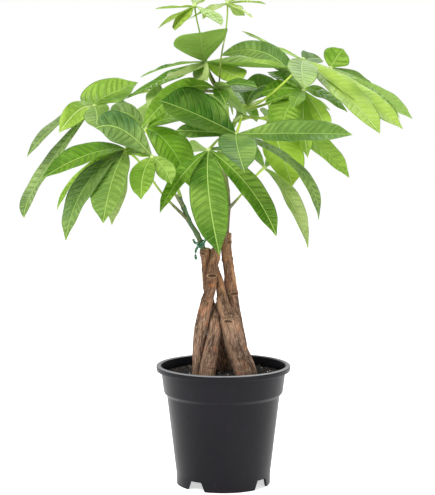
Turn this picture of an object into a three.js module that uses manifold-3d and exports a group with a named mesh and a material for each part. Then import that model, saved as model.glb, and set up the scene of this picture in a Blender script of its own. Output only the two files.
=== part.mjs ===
// Potted money tree: five braided woody stems in a nursery pot, with two green shoots
// and palmate leaves. Millimetres, +Z up. The origin is on the pot's axis, on the ground.
// +X is to the viewer's right and -Y is toward the viewer.
import * as THREE from 'three';
import { mergeVertices } from 'three/addons/utils/BufferGeometryUtils.js';
import Module from 'manifold-3d';

const wasm = await Module();
wasm.setup();

// Pot
const POT_HEIGHT = 119;
const LIP_RADIUS = 66.8;
const LIP_THICKNESS = 5.5;
const LIP_ROUND = 1;
const BAND_TOP_RADIUS = 62;
const BAND_BOTTOM_RADIUS = 59.2;
const BAND_BOTTOM_Z = 92;
const LEDGE_RADIUS = 56.2;
const LEDGE_Z = 88.6;
const FOOT_RADIUS = 46.9;
const FOOT_WIDTH = 2.6;
const FOOT_HEIGHT = 11;
const FOOT_DRAFT = 0.2;
const POT_WALL = 1.9;
const FLOOR_THICKNESS = 2;
const POT_SIDES = 40;
const NOTCH_COUNT = 4;
const NOTCH_HEIGHT = 9;
const NOTCH_FIRST_DEG = -36;
const NOTCH_BOTTOM_DEG = 27;
const NOTCH_TOP_DEG = 16;

// Soil
const SOIL_EDGE_Z = 108.5;
const SOIL_MIDDLE_Z = 111;
const SOIL_MOUND_RADIUS = 42;
const SOIL_MIDDLE_RADIUS = 26;

// Clearances and leaf build
const GAP = 0.35;
const BLADE_HALF_THICKNESS = 0.4;
const RIB_DEPTH = 1.2;
const STALK_HALF_WIDTH = 1;
const TIP_HALF_WIDTH = 0.4;
const FOLD_DEG = 14;
const RIPPLE = 1.1;
const RIPPLE_RATE = 9;
const HUB_RADIUS = 2.7;
const PETIOLE_RADIUS = 1.25;
const PETIOLE_FOOT_RADIUS = 1.9;
const PETIOLE_SIDES = 5;
const TRUNK_SIDES = 10;
const SHOOT_SIDES = 6;

const bark = () => new THREE.MeshStandardMaterial({ color: 0x7a5a48, roughness: 0.9, metalness: 0 });
const stemGreen = () => new THREE.MeshStandardMaterial({ color: 0x6d9438, roughness: 0.6, metalness: 0 });
const leafGreen = (color) => new THREE.MeshStandardMaterial({ color, roughness: 0.45, metalness: 0 });

const point = (p) => new THREE.Vector3(p[0], p[1], p[2]);

// A closed solid from a triangle mesh, with its shared vertices merged and its faces outward.
function toSolid(geometry) {
  const bare = new THREE.BufferGeometry();
  bare.setAttribute('position', geometry.getAttribute('position').clone());
  if (geometry.index) bare.setIndex(geometry.index.clone());
  const merged = mergeVertices(bare, 1e-5);
  const xyz = merged.getAttribute('position').array;
  const tris = [];
  for (let i = 0; i < merged.index.count; i += 3) {
    const [a, b, c] = [merged.index.getX(i), merged.index.getX(i + 1), merged.index.getX(i + 2)];
    if (a !== b && b !== c && c !== a) tris.push(a, b, c);
  }
  let volume = 0;
  const corner = (i) => new THREE.Vector3(xyz[3 * i], xyz[3 * i + 1], xyz[3 * i + 2]);
  for (let i = 0; i < tris.length; i += 3) {
    volume += corner(tris[i]).dot(corner(tris[i + 1]).cross(corner(tris[i + 2])));
  }
  if (volume < 0) tris.reverse();
  return new wasm.Manifold(new wasm.Mesh({
    numProp: 3,
    vertProperties: new Float32Array(xyz),
    triVerts: new Uint32Array(tris),
  }));
}

function toGeometry(solid) {
  const mesh = solid.getMesh();
  const geometry = new THREE.BufferGeometry();
  geometry.setAttribute('position', new THREE.BufferAttribute(new Float32Array(mesh.vertProperties), 3));
  geometry.setIndex(new THREE.BufferAttribute(new Uint32Array(mesh.triVerts), 1));
  geometry.computeVertexNormals();
  return geometry;
}

function makeMesh(name, solid, material) {
  const mesh = new THREE.Mesh(toGeometry(solid), material);
  mesh.name = name;
  return mesh;
}

// Skins a row of rings with equal corner counts and closes both ends.
// flipped lists the ring edges whose quads are split along the other diagonal.
function loft(rings, caps, flipped = []) {
  const corners = rings[0].length;
  const positions = rings.flat().flatMap((p) => [p.x, p.y, p.z]);
  const index = [];
  for (let i = 0; i < rings.length - 1; i += 1) {
    for (let k = 0; k < corners; k += 1) {
      const next = (k + 1) % corners;
      const [a, b] = [i * corners + k, i * corners + next];
      const [c, d] = [b + corners, a + corners];
      if (flipped.includes(k)) index.push(a, b, d, b, c, d);
      else index.push(a, b, c, a, c, d);
    }
  }
  const last = (rings.length - 1) * corners;
  for (const [a, b, c] of caps) index.push(c, b, a, last + a, last + b, last + c);
  const geometry = new THREE.BufferGeometry();
  geometry.setAttribute('position', new THREE.Float32BufferAttribute(positions, 3));
  geometry.setIndex(index);
  return geometry;
}

// Carries a direction along a curve without twist, starting square to its first tangent.
function carry(direction, fromTangent, toTangent) {
  const turn = new THREE.Quaternion().setFromUnitVectors(fromTangent, toTangent);
  return direction.clone().applyQuaternion(turn);
}

// A round stem through [x, y, z, radius] rows. extra widens it and lengthens both ends.
function stem(rows, sides, steps, extra = 0) {
  const curve = new THREE.CatmullRomCurve3(rows.map(point), false, 'centripetal');
  const caps = [];
  for (let k = 1; k < sides - 1; k += 1) caps.push([0, k, k + 1]);
  const rings = [];
  let tangent = curve.getTangent(0);
  let across = new THREE.Vector3(0, 1, 0).projectOnPlane(tangent).normalize();
  for (let i = 0; i <= steps; i += 1) {
    const t = i / steps;
    const nextTangent = curve.getTangent(t);
    across = carry(across, tangent, nextTangent).projectOnPlane(nextTangent).normalize();
    tangent = nextTangent;
    const side = new THREE.Vector3().crossVectors(tangent, across);
    const at = t * (rows.length - 1);
    const row = Math.min(Math.floor(at), rows.length - 2);
    const radius = THREE.MathUtils.lerp(rows[row][3], rows[row + 1][3], at - row) + extra;
    const centre = curve.getPoint(t);
    if (i === 0) centre.addScaledVector(tangent, -extra);
    if (i === steps) centre.addScaledVector(tangent, extra);
    const ring = [];
    for (let k = 0; k < sides; k += 1) {
      const angle = (k / sides) * 2 * Math.PI;
      ring.push(centre.clone()
        .addScaledVector(side, radius * Math.cos(angle))
        .addScaledVector(across, radius * Math.sin(angle)));
    }
    rings.push(ring);
  }
  return toSolid(loft(rings, caps));
}

// Pot: one lathed moulding with four drainage notches cut through the foot ring.
function makePot() {
  const outline = [
    [0, FOOT_HEIGHT - FLOOR_THICKNESS],
    [FOOT_RADIUS - FOOT_WIDTH, FOOT_HEIGHT - FLOOR_THICKNESS],
    [FOOT_RADIUS - FOOT_WIDTH, 0],
    [FOOT_RADIUS - FOOT_DRAFT, 0],
    [FOOT_RADIUS, FOOT_HEIGHT],
    [LEDGE_RADIUS, LEDGE_Z],
    [BAND_BOTTOM_RADIUS, BAND_BOTTOM_Z],
    [BAND_TOP_RADIUS, POT_HEIGHT - LIP_THICKNESS],
    [LIP_RADIUS - LIP_ROUND, POT_HEIGHT - LIP_THICKNESS],
    [LIP_RADIUS, POT_HEIGHT - LIP_THICKNESS + LIP_ROUND],
    [LIP_RADIUS, POT_HEIGHT - LIP_ROUND],
    [LIP_RADIUS - LIP_ROUND, POT_HEIGHT],
    [BAND_TOP_RADIUS + LIP_ROUND, POT_HEIGHT],
    [BAND_TOP_RADIUS, POT_HEIGHT - LIP_ROUND],
    [BAND_TOP_RADIUS - POT_WALL, POT_HEIGHT - LIP_THICKNESS - LIP_ROUND],
    [BAND_BOTTOM_RADIUS - POT_WALL, BAND_BOTTOM_Z],
    [LEDGE_RADIUS - POT_WALL, LEDGE_Z],
    [FOOT_RADIUS - POT_WALL, FOOT_HEIGHT],
    [0, FOOT_HEIGHT],
  ];
  const lathe = new THREE.LatheGeometry(outline.map(([r, z]) => new THREE.Vector2(r, z)), POT_SIDES);
  lathe.rotateX(Math.PI / 2);
  let pot = toSolid(lathe);
  for (let i = 0; i < NOTCH_COUNT; i += 1) {
    pot = pot.subtract(makeNotch(NOTCH_FIRST_DEG + (i * 360) / NOTCH_COUNT));
  }
  return pot;
}

// A notch is a block with slanted ends that reaches through the foot ring.
// Its angle is measured from the viewer's side toward +X.
function makeNotch(angleDeg) {
  const bottom = FOOT_RADIUS * Math.tan(THREE.MathUtils.degToRad(NOTCH_BOTTOM_DEG / 2));
  const top = FOOT_RADIUS * Math.tan(THREE.MathUtils.degToRad(NOTCH_TOP_DEG / 2));
  const below = 2;
  const face = new THREE.Shape([
    new THREE.Vector2(-bottom, -below),
    new THREE.Vector2(bottom, -below),
    new THREE.Vector2(top, NOTCH_HEIGHT),
    new THREE.Vector2(-top, NOTCH_HEIGHT),
  ]);
  const depth = 3 * FOOT_WIDTH;
  const block = new THREE.ExtrudeGeometry(face, { depth, bevelEnabled: false });
  block.rotateX(Math.PI / 2);
  block.translate(0, -(FOOT_RADIUS - 2 * FOOT_WIDTH), 0);
  block.rotateZ(THREE.MathUtils.degToRad(angleDeg));
  return toSolid(block);
}

// Soil: fills the pot, a little higher round the stems than at the wall.
function makeSoil() {
  const inner = FOOT_RADIUS - POT_WALL - GAP;
  const slope = (LEDGE_RADIUS - FOOT_RADIUS) / (LEDGE_Z - FOOT_HEIGHT);
  const outline = [
    [0, FOOT_HEIGHT + GAP],
    [inner, FOOT_HEIGHT + GAP],
    [inner + slope * (LEDGE_Z - FOOT_HEIGHT), LEDGE_Z],
    [BAND_BOTTOM_RADIUS - POT_WALL - GAP, BAND_BOTTOM_Z + GAP],
    [BAND_TOP_RADIUS - POT_WALL - 2 * GAP, SOIL_EDGE_Z],
    [SOIL_MOUND_RADIUS, (2 * SOIL_EDGE_Z + SOIL_MIDDLE_Z) / 3],
    [SOIL_MIDDLE_RADIUS, SOIL_MIDDLE_Z],
    [0, SOIL_MIDDLE_Z],
  ];
  const lathe = new THREE.LatheGeometry(outline.map(([r, z]) => new THREE.Vector2(r, z)), POT_SIDES);
  lathe.rotateX(Math.PI / 2);
  return toSolid(lathe);
}

// Braided stems, each as [x, y, z, radius] from its buried foot to its cut top. They are
// listed front one first: where two press together, the later one is flattened.
const TRUNKS = {
  trunk_3: [[26, -10, 62, 9.5], [22, -12, 112, 11.2], [13, -13, 137, 10.6], [8, -14, 158, 9.8],
    [5, -13, 169, 8.4], [0, -11, 180, 6.4], [-2, -7, 191, 4.8], [-4, -1, 202, 4.2],
    [-8, 5, 212, 4.2], [-11, 9, 222, 4.2], [-11, 10, 233, 4.4]],
  trunk_2: [[-15, -22, 62, 7.2], [-16, -22, 113, 8.1], [-13, -20, 132, 7.6], [-9, -14, 153, 6.4],
    [-6, -2, 173, 5.6], [2, 6, 184, 4.5], [6, 12, 194, 4.5], [6, 13, 212, 4.5], [4, 13, 231, 4.6]],
  trunk_1: [[-26, -12, 62, 6.2], [-24, -14, 112, 6.8], [-24, -14, 137, 6.3], [-22, -14, 158, 6.6],
    [-16, -12, 185, 5.9], [-12, -11, 199, 5.1], [-11, -9, 215, 4.9], [-8, -8, 227, 4.7],
    [-7, -7, 236, 4.7]],
  trunk_4: [[20, 22, 62, 7], [19, 20, 106, 7.4], [17, 14, 136, 6.8], [14, 8, 157, 5.9],
    [11, 4, 177, 5.3], [8, 2, 197, 5.5], [5, 2, 217, 5.3], [3, 3, 233, 5.2], [3, 4, 250, 5]],
  trunk_5: [[0, 11, 62, 7.6], [1, 10, 107, 8.4], [-2, 12, 131, 6.8], [-5, 12, 149, 5.6],
    [-10, 9, 167, 4.8], [-14, 5, 185, 4.6], [-16, 1, 202, 4.6], [-17, 0, 219, 4.5],
    [-18, -2, 235, 5]],
};
const TRUNK_STEPS = 13;

// Green shoots, which grow out of the cut tops of trunk_5 and trunk_4.
const SHOOTS = {
  shoot_left: [[-18, -1, 228, 2.6], [-21, -4, 238, 2.6], [-26, -8, 250, 2.4], [-33, -13, 262, 2.3],
    [-38, -19, 275, 2.3], [-41, -22, 283, 2], [-43, -27, 291, 1.6]],
  shoot_main: [[3, 4, 243, 2.4], [4, 5, 261, 2.3], [5, 4, 278, 2.2], [3, 2, 300, 2.1],
    [0, 0, 322, 2], [3, 0, 342, 2], [10, 0, 357, 2.1], [15, 0, 369, 2.2], [8, 0, 381, 1.9],
    [-6, 0, 393, 1.8]],
};
const SHOOT_STEPS = 12;

// Palmate leaves. at is the hub, face is the way the whole leaf faces, stalk is the petiole's
// route from its foot on the shoot to just short of the hub. A leaflet is
// [tip x, y, z from the hub, rise and sway of the midrib's middle off its chord, width,
// roll of the blade about its midrib, fold of its halves], the last two in degrees.
const LEAVES = {
  leaf_front_right: {
    at: [12, -70, 350], face: [0, -0.62, 0.78], color: 0x3f7d35,
    stalk: [[11, -1, 361], [17, -32, 366]],
    leaflets: [[-71, 0, 31, 3, -2, 53, -1, 19], [105, -40, 1, 1, 2, 34], [77, -8, -80, 8, 20, 24, -19, 0],
      [6, -88, -30, 6, -3, 36], [-57, 10, 3, 1, -8, 14, -26, 9]],
  },
  leaf_front_centre: {
    at: [-14, -82, 336], face: [-0.05, -0.6, 0.8], color: 0x5b9a34,
    stalk: [[2, -1, 338], [-3, -40, 345]],
    leaflets: [[10, -30, -95, 9, -5, 37], [62, -40, -77, 5, 6, 26], [-45, -22, -57, 4, -3, 18],
      [37, 52, -12, 3, 1, 16]],
  },
  leaf_left_inner: {
    at: [-74, -48, 354], face: [0.1, -0.55, 0.83], color: 0x6da63a,
    stalk: [[-42, -26, 289], [-45, -42, 301], [-50, -64, 316], [-66, -66, 340]],
    leaflets: [[46, -21, -57, 14, -1, 43, -8, 8], [41, 26, 7, 6, 0, 20], [-34, -14, 14, 8, 0, 22],
      [5, 38, 41, 8, 6, 18, -30, 20]],
  },
  leaf_left_middle: {
    at: [-66, -98, 330], face: [-0.1, -0.6, 0.8], color: 0x6f9f63,
    stalk: [[-40, -22, 279], [-50, -56, 299], [-62, -90, 322]],
    leaflets: [[-51, -13, 27, 12, -2, 31, -11, 6], [-9, -30, -37, 4, -3, 24], [18, -14, -24, 3, 1, 20],
      [-27, 6, 4, 3, 0, 17]],
  },
  leaf_left_lower: {
    at: [-91, -78, 336], face: [-0.25, -0.5, 0.82], color: 0x5f9a3a,
    stalk: [[-35, -16, 265], [-58, -40, 291], [-80, -70, 325]],
    leaflets: [[-19, -44, -65, 6, -2, 38], [-14, 0, -71, 8, -1, 28, -10, 7], [-55, -25, -83, 8, -10, 39, 8, 5],
      [-67, 16, -58, 7, -8, 14], [-77, -23, -26, 9, 4, 29, -5, 16]],
  },
  leaf_left_outer: {
    at: [-124, -36, 375], face: [-0.2, -0.45, 0.87], color: 0x8cbf4a,
    stalk: [[-4.5, 2.2, 389], [-60, 6, 391], [-102, -16, 383]],
    leaflets: [[-63, -14, -47, 8, -2, 18], [-31, -28, -24, 9, 2, 21, -35, 2], [41, 24, 23, -3, -12, 52, 3, 10],
      [-67, -9, -106, -15, -18, 19, -12, 16], [7, -70, -18, 3, 2, 26], [38, 14, -6, 7, 3, 12]],
  },
  leaf_centre_upper: {
    at: [-8, -30, 392], face: [0, -0.45, 0.9], color: 0x4f8a34,
    stalk: [[-4, -2, 391], [-7, -18, 391]],
    leaflets: [[-69, -37, -36, 16, 2, 24, -17, 16], [39, -32, 2, 4, 1, 16], [31, -12, -26, 8, -7, 28, -60, 9],
      [10, -38, -15, 3, 0, 14], [42, 57, 0, -1, -1, 20, 7, 12], [17, 14, -25, 4, 2, 20]],
  },
  leaf_top: {
    at: [-18, 0, 418], face: [0, -0.1, 1], color: 0x7fb04a,
    stalk: [[-7, 0, 393], [-12, 0, 400], [-16, 0, 411]],
    leaflets: [[-1, -54, 27, 7, -3, 54, 24, 4], [-64, 20, -15, 4, 0, 12], [-75, -33, -35, 4, 5, 24, -5, 1],
      [-36, -100, -16, -2, 4, 20, 0, 19], [82, -27, -6, -1, -7, 42, 2, 20], [37, -30, -16, -3, 5, 27, 27, 4], [3, -76, -18, 0, -4, 20, 37, 20]],
  },
  leaf_crown_left: {
    at: [-28, 0, 472], face: [0, -0.1, 1], color: 0xb4cf5e,
    stalk: [[-7, 3, 394], [-14, 10, 410], [-23, 6, 446], [-27, 1, 464]],
    leaflets: [[-39, 16, -2, 0, 0, 10], [-35, -20, -22, 1, 0, 9], [-19, -17, -24, 0, -2, 20, 0, 1],
      [26, -37, -20, 2, 2, 17, 0, 2], [7, 46, 7, 2, 0, 15]],
  },
  leaf_crown_right: {
    at: [4, 14, 475], face: [0, -0.1, 1], color: 0xb9d477,
    stalk: [[-6, -3, 394], [-4, -26, 400], [-3, -32, 416], [-1, -18, 430], [2, 4, 445], [4, 12, 466]],
    leaflets: [[38, 14, 0, 2, 0, 9], [24, -34, -15, 1, 0, 7], [-24, -20, -16, 2, -1, 17],
      [-37, 18, -14, 2, 1, 9], [17, 2, -12, 1, -1, 24, -23, 1], [6, 44, 4, 2, 0, 12]],
  },
  leaf_right_outer: {
    at: [77, -14, 420], face: [0.2, -0.35, 0.9], color: 0xa3cc5c,
    stalk: [[15, -1, 371], [34, -16, 378], [64, -36, 404]],
    leaflets: [[-2, -70, -28, 4, -2, 30], [69, -60, -69, 1, 4, 36, 8], [94, -28, -66, -1, 3, 40, 4],
      [-58, 60, 29, -1, 1, 7], [20, 52, 2, 0, -2, 22, 18]],
  },
  leaf_right_rear: {
    at: [107, 34, 412], face: [0.1, -0.1, 1], color: 0x5f9238,
    stalk: [[15, 2, 369], [45, 14, 378], [88, 30, 404]],
    leaflets: [[13, 7, 19, 0, -1, 28, 25, 5], [86, 36, -51, -2, 0, 32, -26, 19], [67, -26, -49, 4, 4, 12],
      [47, 66, -31, 7, 2, 26]],
  },
  leaf_right_middle: {
    at: [77, -30, 390], face: [0.05, -0.5, 0.85], color: 0x8abb42,
    stalk: [[15, -2, 366], [38, -18, 364], [64, -27, 378]],
    leaflets: [[-38, -14, -12, 1, -1, 13], [-21, -34, -41, 3, -6, 34], [20, -30, -38, -3, 4, 18, 17],
      [3, -18, -63, 2, -2, 18], [42, 0, -20, 8, -4, 20, -3, 2], [-12, -48, -15, 1, -1, 16],
      [-80, 71, 34, 19, 5, 22, -38, 12], [-34, 30, 18, 2, 0, 16], [-42, 26, -3, 4, 0, 20, -35, 8]],
  },
  leaf_right_inner: {
    at: [43, -14, 362], face: [0.15, -0.5, 0.85], color: 0xa0c957,
    stalk: [[12, 0, 360], [28, -6, 364]],
    leaflets: [[22, -40, -62, 1, 1, 42], [78, -19, -55, 8, 3, 33, 2, 10], [8, 50, 4, 4, -1, 22]],
  },
  leaf_right_lower: {
    at: [39, -42, 317], face: [0.1, -0.55, 0.83], color: 0x8eb45c,
    stalk: [[6, 3, 275], [17, -18, 289], [33, -37, 311]],
    leaflets: [[42, -6, -77, 7, 4, 23, -4, 20], [-25, 56, 25, 3, 0, 16], [33, 62, 14, 4, 0, 20]],
  },
  leaf_centre_rear: {
    at: [23, 30, 374], face: [0, -0.2, 1], color: 0x3d7a2a,
    stalk: [[13, 2, 373], [18, 16, 376]],
    leaflets: [[37, 38, 20, 8, -7, 27, 28, 18], [28, -26, 19, 2, -1, 12], [-20, 70, 21, 5, 0, 30],
      [-34, 14, -14, 7, -1, 26], [10, -12, -15, 2, 0, 14]],
  },
  leaf_rear_left: {
    at: [-45, 85, 378], face: [-0.2, 0.4, 0.9], color: 0x5c9438,
    stalk: [[1, 2, 335], [-12, 40, 362], [-36, 76, 376]],
    leaflets: [[-60, 50, -40, 8, 0, 30], [-50, 76, -44, 12, 0, 36], [32, 74, -32, 10, 0, 34],
      [-30, -44, -6, 6, 0, 22], [52, 40, -18, 8, 0, 28]],
  },
  leaf_rear_right: {
    at: [58, 88, 378], face: [0.2, 0.4, 0.9], color: 0x548c36,
    stalk: [[9, 2, 356], [28, 44, 376], [50, 80, 380]],
    leaflets: [[50, 56, -24, 12, 0, 30], [48, 70, -46, 12, 0, 34], [6, 76, -34, 10, 0, 32],
      [50, -34, -8, 6, 0, 22], [-46, 30, 4, 8, 0, 26]],
  },
  leaf_rear_lower: {
    at: [-4, 80, 318], face: [0, 0.5, 0.85], color: 0x64983c,
    stalk: [[4, 4, 292], [0, 40, 308], [-3, 68, 316]],
    leaflets: [[-14, 70, -62, 10, 0, 30], [-2, 52, -20, 8, 0, 22], [22, 60, 6, 8, 0, 26],
      [-34, 56, 4, 8, 0, 26]],
  },
};
const LEAF_STATIONS = [0, 0.09, 0.3, 0.58, 0.84, 1];

// Share of the full width along a leaflet, widest a little past its middle.
const LEAF_TAPER = 0.8;
const LEAF_WIDEST = 1 / (1 + LEAF_TAPER);
const leafOutline = (t) => t * (1 - t) ** LEAF_TAPER;
const widthShare = (t) => leafOutline(t) / leafOutline(LEAF_WIDEST);

// One leaflet: a folded, slightly rippled blade on a bowed midrib, rib proud underneath.
function makeLeaflet(hub, face, row, number) {
  const [x, y, z, rise, sway, width, roll = 0, foldDeg = FOLD_DEG] = row;
  const tip = hub.clone().add(new THREE.Vector3(x, y, z));
  const bend = hub.clone().add(tip).multiplyScalar(0.5);
  bend.add(new THREE.Vector3(2 * sway, 0, 2 * rise));
  const midrib = new THREE.QuadraticBezierCurve3(hub, bend, tip);
  const fold = THREE.MathUtils.degToRad(foldDeg);
  const rings = [];
  let tangent = midrib.getTangent(0);
  let up = face.clone().projectOnPlane(tangent).normalize();
  up.applyAxisAngle(tangent, THREE.MathUtils.degToRad(roll));
  for (const t of LEAF_STATIONS) {
    const nextTangent = midrib.getTangent(t);
    up = carry(up, tangent, nextTangent).projectOnPlane(nextTangent).normalize();
    tangent = nextTangent;
    const side = new THREE.Vector3().crossVectors(tangent, up);
    const share = widthShare(t);
    const narrowest = THREE.MathUtils.lerp(STALK_HALF_WIDTH, TIP_HALF_WIDTH, t);
    const half = Math.max(narrowest, (width / 2) * share);
    const wave = RIPPLE * share * Math.sin(RIPPLE_RATE * t + 2 * number);
    const thick = t <= LEAF_STATIONS[1] ? 2 * BLADE_HALF_THICKNESS : BLADE_HALF_THICKNESS;
    const rib = thick + (RIB_DEPTH - thick) * (1 - t);
    const centre = midrib.getPoint(t);
    const corner = (across, lift) => centre.clone()
      .addScaledVector(side, across * half * Math.cos(fold))
      .addScaledVector(up, Math.abs(across) * half * Math.sin(fold) + across * wave + lift);
    rings.push([corner(-1, thick), corner(0, thick), corner(1, thick),
      corner(1, -thick), corner(0, -rib), corner(-1, -thick)]);
  }
  return toSolid(loft(rings, [[0, 1, 4], [0, 4, 5], [1, 2, 3], [1, 3, 4]], [3, 4]));
}

// A leaf: petiole, hub and leaflets grown together.
function makeLeaf({ at, face, stalk, leaflets }) {
  const hub = point(at);
  const facing = point(face).normalize();
  const route = [...stalk, at];
  const rows = route.map((p, i) => [...p, i === 0 ? PETIOLE_FOOT_RADIUS : PETIOLE_RADIUS]);
  const knob = new THREE.SphereGeometry(HUB_RADIUS, 6, 4);
  knob.translate(hub.x, hub.y, hub.z);
  let leaf = stem(rows, PETIOLE_SIDES, 2 * stalk.length).add(toSolid(knob));
  leaflets.forEach((row, i) => { leaf = leaf.add(makeLeaflet(hub, facing, row, i)); });
  return leaf;
}

// Tie: a closed ribbon loop round the foot of the left shoot.
const TIE = { at: [-21.8, -4.7, 240], axis: [-0.34, -0.29, 0.9], radius: 2.95, thickness: 1.1, height: 5 };
const TIE_SIDES = 18;
function makeTie() {
  const outer = TIE.radius + TIE.thickness;
  const top = TIE.height / 2;
  const outline = [[TIE.radius, -top], [outer, -top], [outer, top], [TIE.radius, top], [TIE.radius, -top]];
  const ring = new THREE.LatheGeometry(outline.map(([r, z]) => new THREE.Vector2(r, z)), TIE_SIDES);
  const axis = point(TIE.axis).normalize();
  ring.applyQuaternion(new THREE.Quaternion().setFromUnitVectors(new THREE.Vector3(0, 1, 0), axis));
  ring.translate(...TIE.at);
  return toSolid(ring);
}

const group = new THREE.Group();
group.name = 'potted_money_tree';

const potMaterial = new THREE.MeshStandardMaterial({ color: 0x2e2d30, roughness: 0.4, metalness: 0 });
group.add(makeMesh('pot', makePot(), potMaterial));

const shootSolids = {};
const shootClearance = [];
for (const [name, rows] of Object.entries(SHOOTS)) {
  shootSolids[name] = stem(rows, SHOOT_SIDES, SHOOT_STEPS);
  shootClearance.push(stem(rows, SHOOT_SIDES, SHOOT_STEPS, GAP));
}
const clearOfShoots = (solid) => shootClearance.reduce((rest, cut) => rest.subtract(cut), solid);

let soil = makeSoil();
const taken = [];
for (const [name, rows] of Object.entries(TRUNKS)) {
  let trunk = clearOfShoots(stem(rows, TRUNK_SIDES, TRUNK_STEPS));
  for (const other of taken) trunk = trunk.subtract(other);
  group.add(makeMesh(name, trunk, bark()));
  const widened = stem(rows, TRUNK_SIDES, TRUNK_STEPS, GAP);
  taken.push(widened);
  soil = soil.subtract(widened);
}
const soilMaterial = new THREE.MeshStandardMaterial({ color: 0x2b211b, roughness: 1, metalness: 0 });
group.add(makeMesh('soil', soil, soilMaterial));

for (const [name, solid] of Object.entries(shootSolids)) group.add(makeMesh(name, solid, stemGreen()));
for (const [name, leaf] of Object.entries(LEAVES)) {
  group.add(makeMesh(name, clearOfShoots(makeLeaf(leaf)), leafGreen(leaf.color)));
}

const tieMaterial = new THREE.MeshStandardMaterial({ color: 0x1f9a6b, roughness: 0.5, metalness: 0 });
group.add(makeMesh('tie', makeTie(), tieMaterial));

export default group;
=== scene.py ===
# The potted money tree, finished for its portrait. Tables of places and sizes are in millimetres, as
# measured on the plant. What Blender makes is in metres, +Z up, with the viewer on the -Y side.
import math

import bmesh
import bpy
import numpy as np
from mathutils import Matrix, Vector


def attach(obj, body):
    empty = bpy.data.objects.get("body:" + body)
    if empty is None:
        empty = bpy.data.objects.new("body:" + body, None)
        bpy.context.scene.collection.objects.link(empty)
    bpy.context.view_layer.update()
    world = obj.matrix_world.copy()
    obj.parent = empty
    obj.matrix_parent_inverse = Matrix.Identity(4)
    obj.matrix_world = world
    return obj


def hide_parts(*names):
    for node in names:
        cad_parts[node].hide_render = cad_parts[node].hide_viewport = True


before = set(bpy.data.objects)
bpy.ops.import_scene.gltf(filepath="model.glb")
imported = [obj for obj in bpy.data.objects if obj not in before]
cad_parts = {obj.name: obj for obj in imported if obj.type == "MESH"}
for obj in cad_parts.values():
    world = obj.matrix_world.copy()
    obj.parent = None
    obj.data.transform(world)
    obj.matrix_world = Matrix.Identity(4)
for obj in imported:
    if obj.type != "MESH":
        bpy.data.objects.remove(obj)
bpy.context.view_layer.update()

# Camera
# A long lens at the height of the crown, tipped a little down, so that the pot's lip is a slim ellipse
# and the leaves keep their true outlines.
MM = 0.001
PHOTO_HEIGHT_PX = 495
FOCAL_PX = 1650
SENSOR_WIDTH = 36
CAMERA_AT = (-5.8, -1619, 406)
CAMERA_TILT = 84


def put(name, data):
    """A new object in the scene, made of this data."""
    made = bpy.data.objects.new(name, data)
    bpy.context.scene.collection.objects.link(made)
    return made


camera = put("camera", bpy.data.cameras.new("camera"))
camera.data.sensor_width = SENSOR_WIDTH
camera.data.lens = FOCAL_PX * SENSOR_WIDTH / PHOTO_HEIGHT_PX
camera.location = Vector(CAMERA_AT) * MM
camera.rotation_euler = (math.radians(CAMERA_TILT), 0, 0)
bpy.context.scene.camera = camera

# Studio
# A plain pale floor under a white sky, with a large soft light on the left, a weaker one on the right
# and one from behind that shines through the thin leaves. Its places and sizes are in metres.
FLOOR_HALF = 4.0
FLOOR_DROP = 0.0002
FLOOR_WHITE = 0.9
FLOOR_ROUGHNESS = 0.9
FLOOR_GLOW = 0.6
SKY_LIGHT = 0.5
SKY_SHEEN = 0.22
LIGHT_AIM = Vector((0, 0, 0.28))
LIGHTS = {
    "key_light": {"at": (-0.9, -1.2, 1.6), "size": 0.9, "power": 42},
    "fill_light": {"at": (1.3, -1.5, 0.35), "size": 1.3, "power": 14},
    "back_light": {"at": (0.4, 1.2, 1.6), "size": 1.0, "power": 30},
}


class Wire:
    """A node's output. Arithmetic on wires and numbers adds Math nodes."""

    def __init__(self, board, socket):
        self.board = board
        self.socket = socket

    def __add__(self, other):
        return self.board.math("ADD", self, other)

    def __radd__(self, other):
        return self.board.math("ADD", other, self)

    def __sub__(self, other):
        return self.board.math("SUBTRACT", self, other)

    def __rsub__(self, other):
        return self.board.math("SUBTRACT", other, self)

    def __mul__(self, other):
        return self.board.math("MULTIPLY", self, other)

    def __rmul__(self, other):
        return self.board.math("MULTIPLY", other, self)

    def __truediv__(self, other):
        return self.board.math("DIVIDE", self, other)

    def __rtruediv__(self, other):
        return self.board.math("DIVIDE", other, self)


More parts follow.
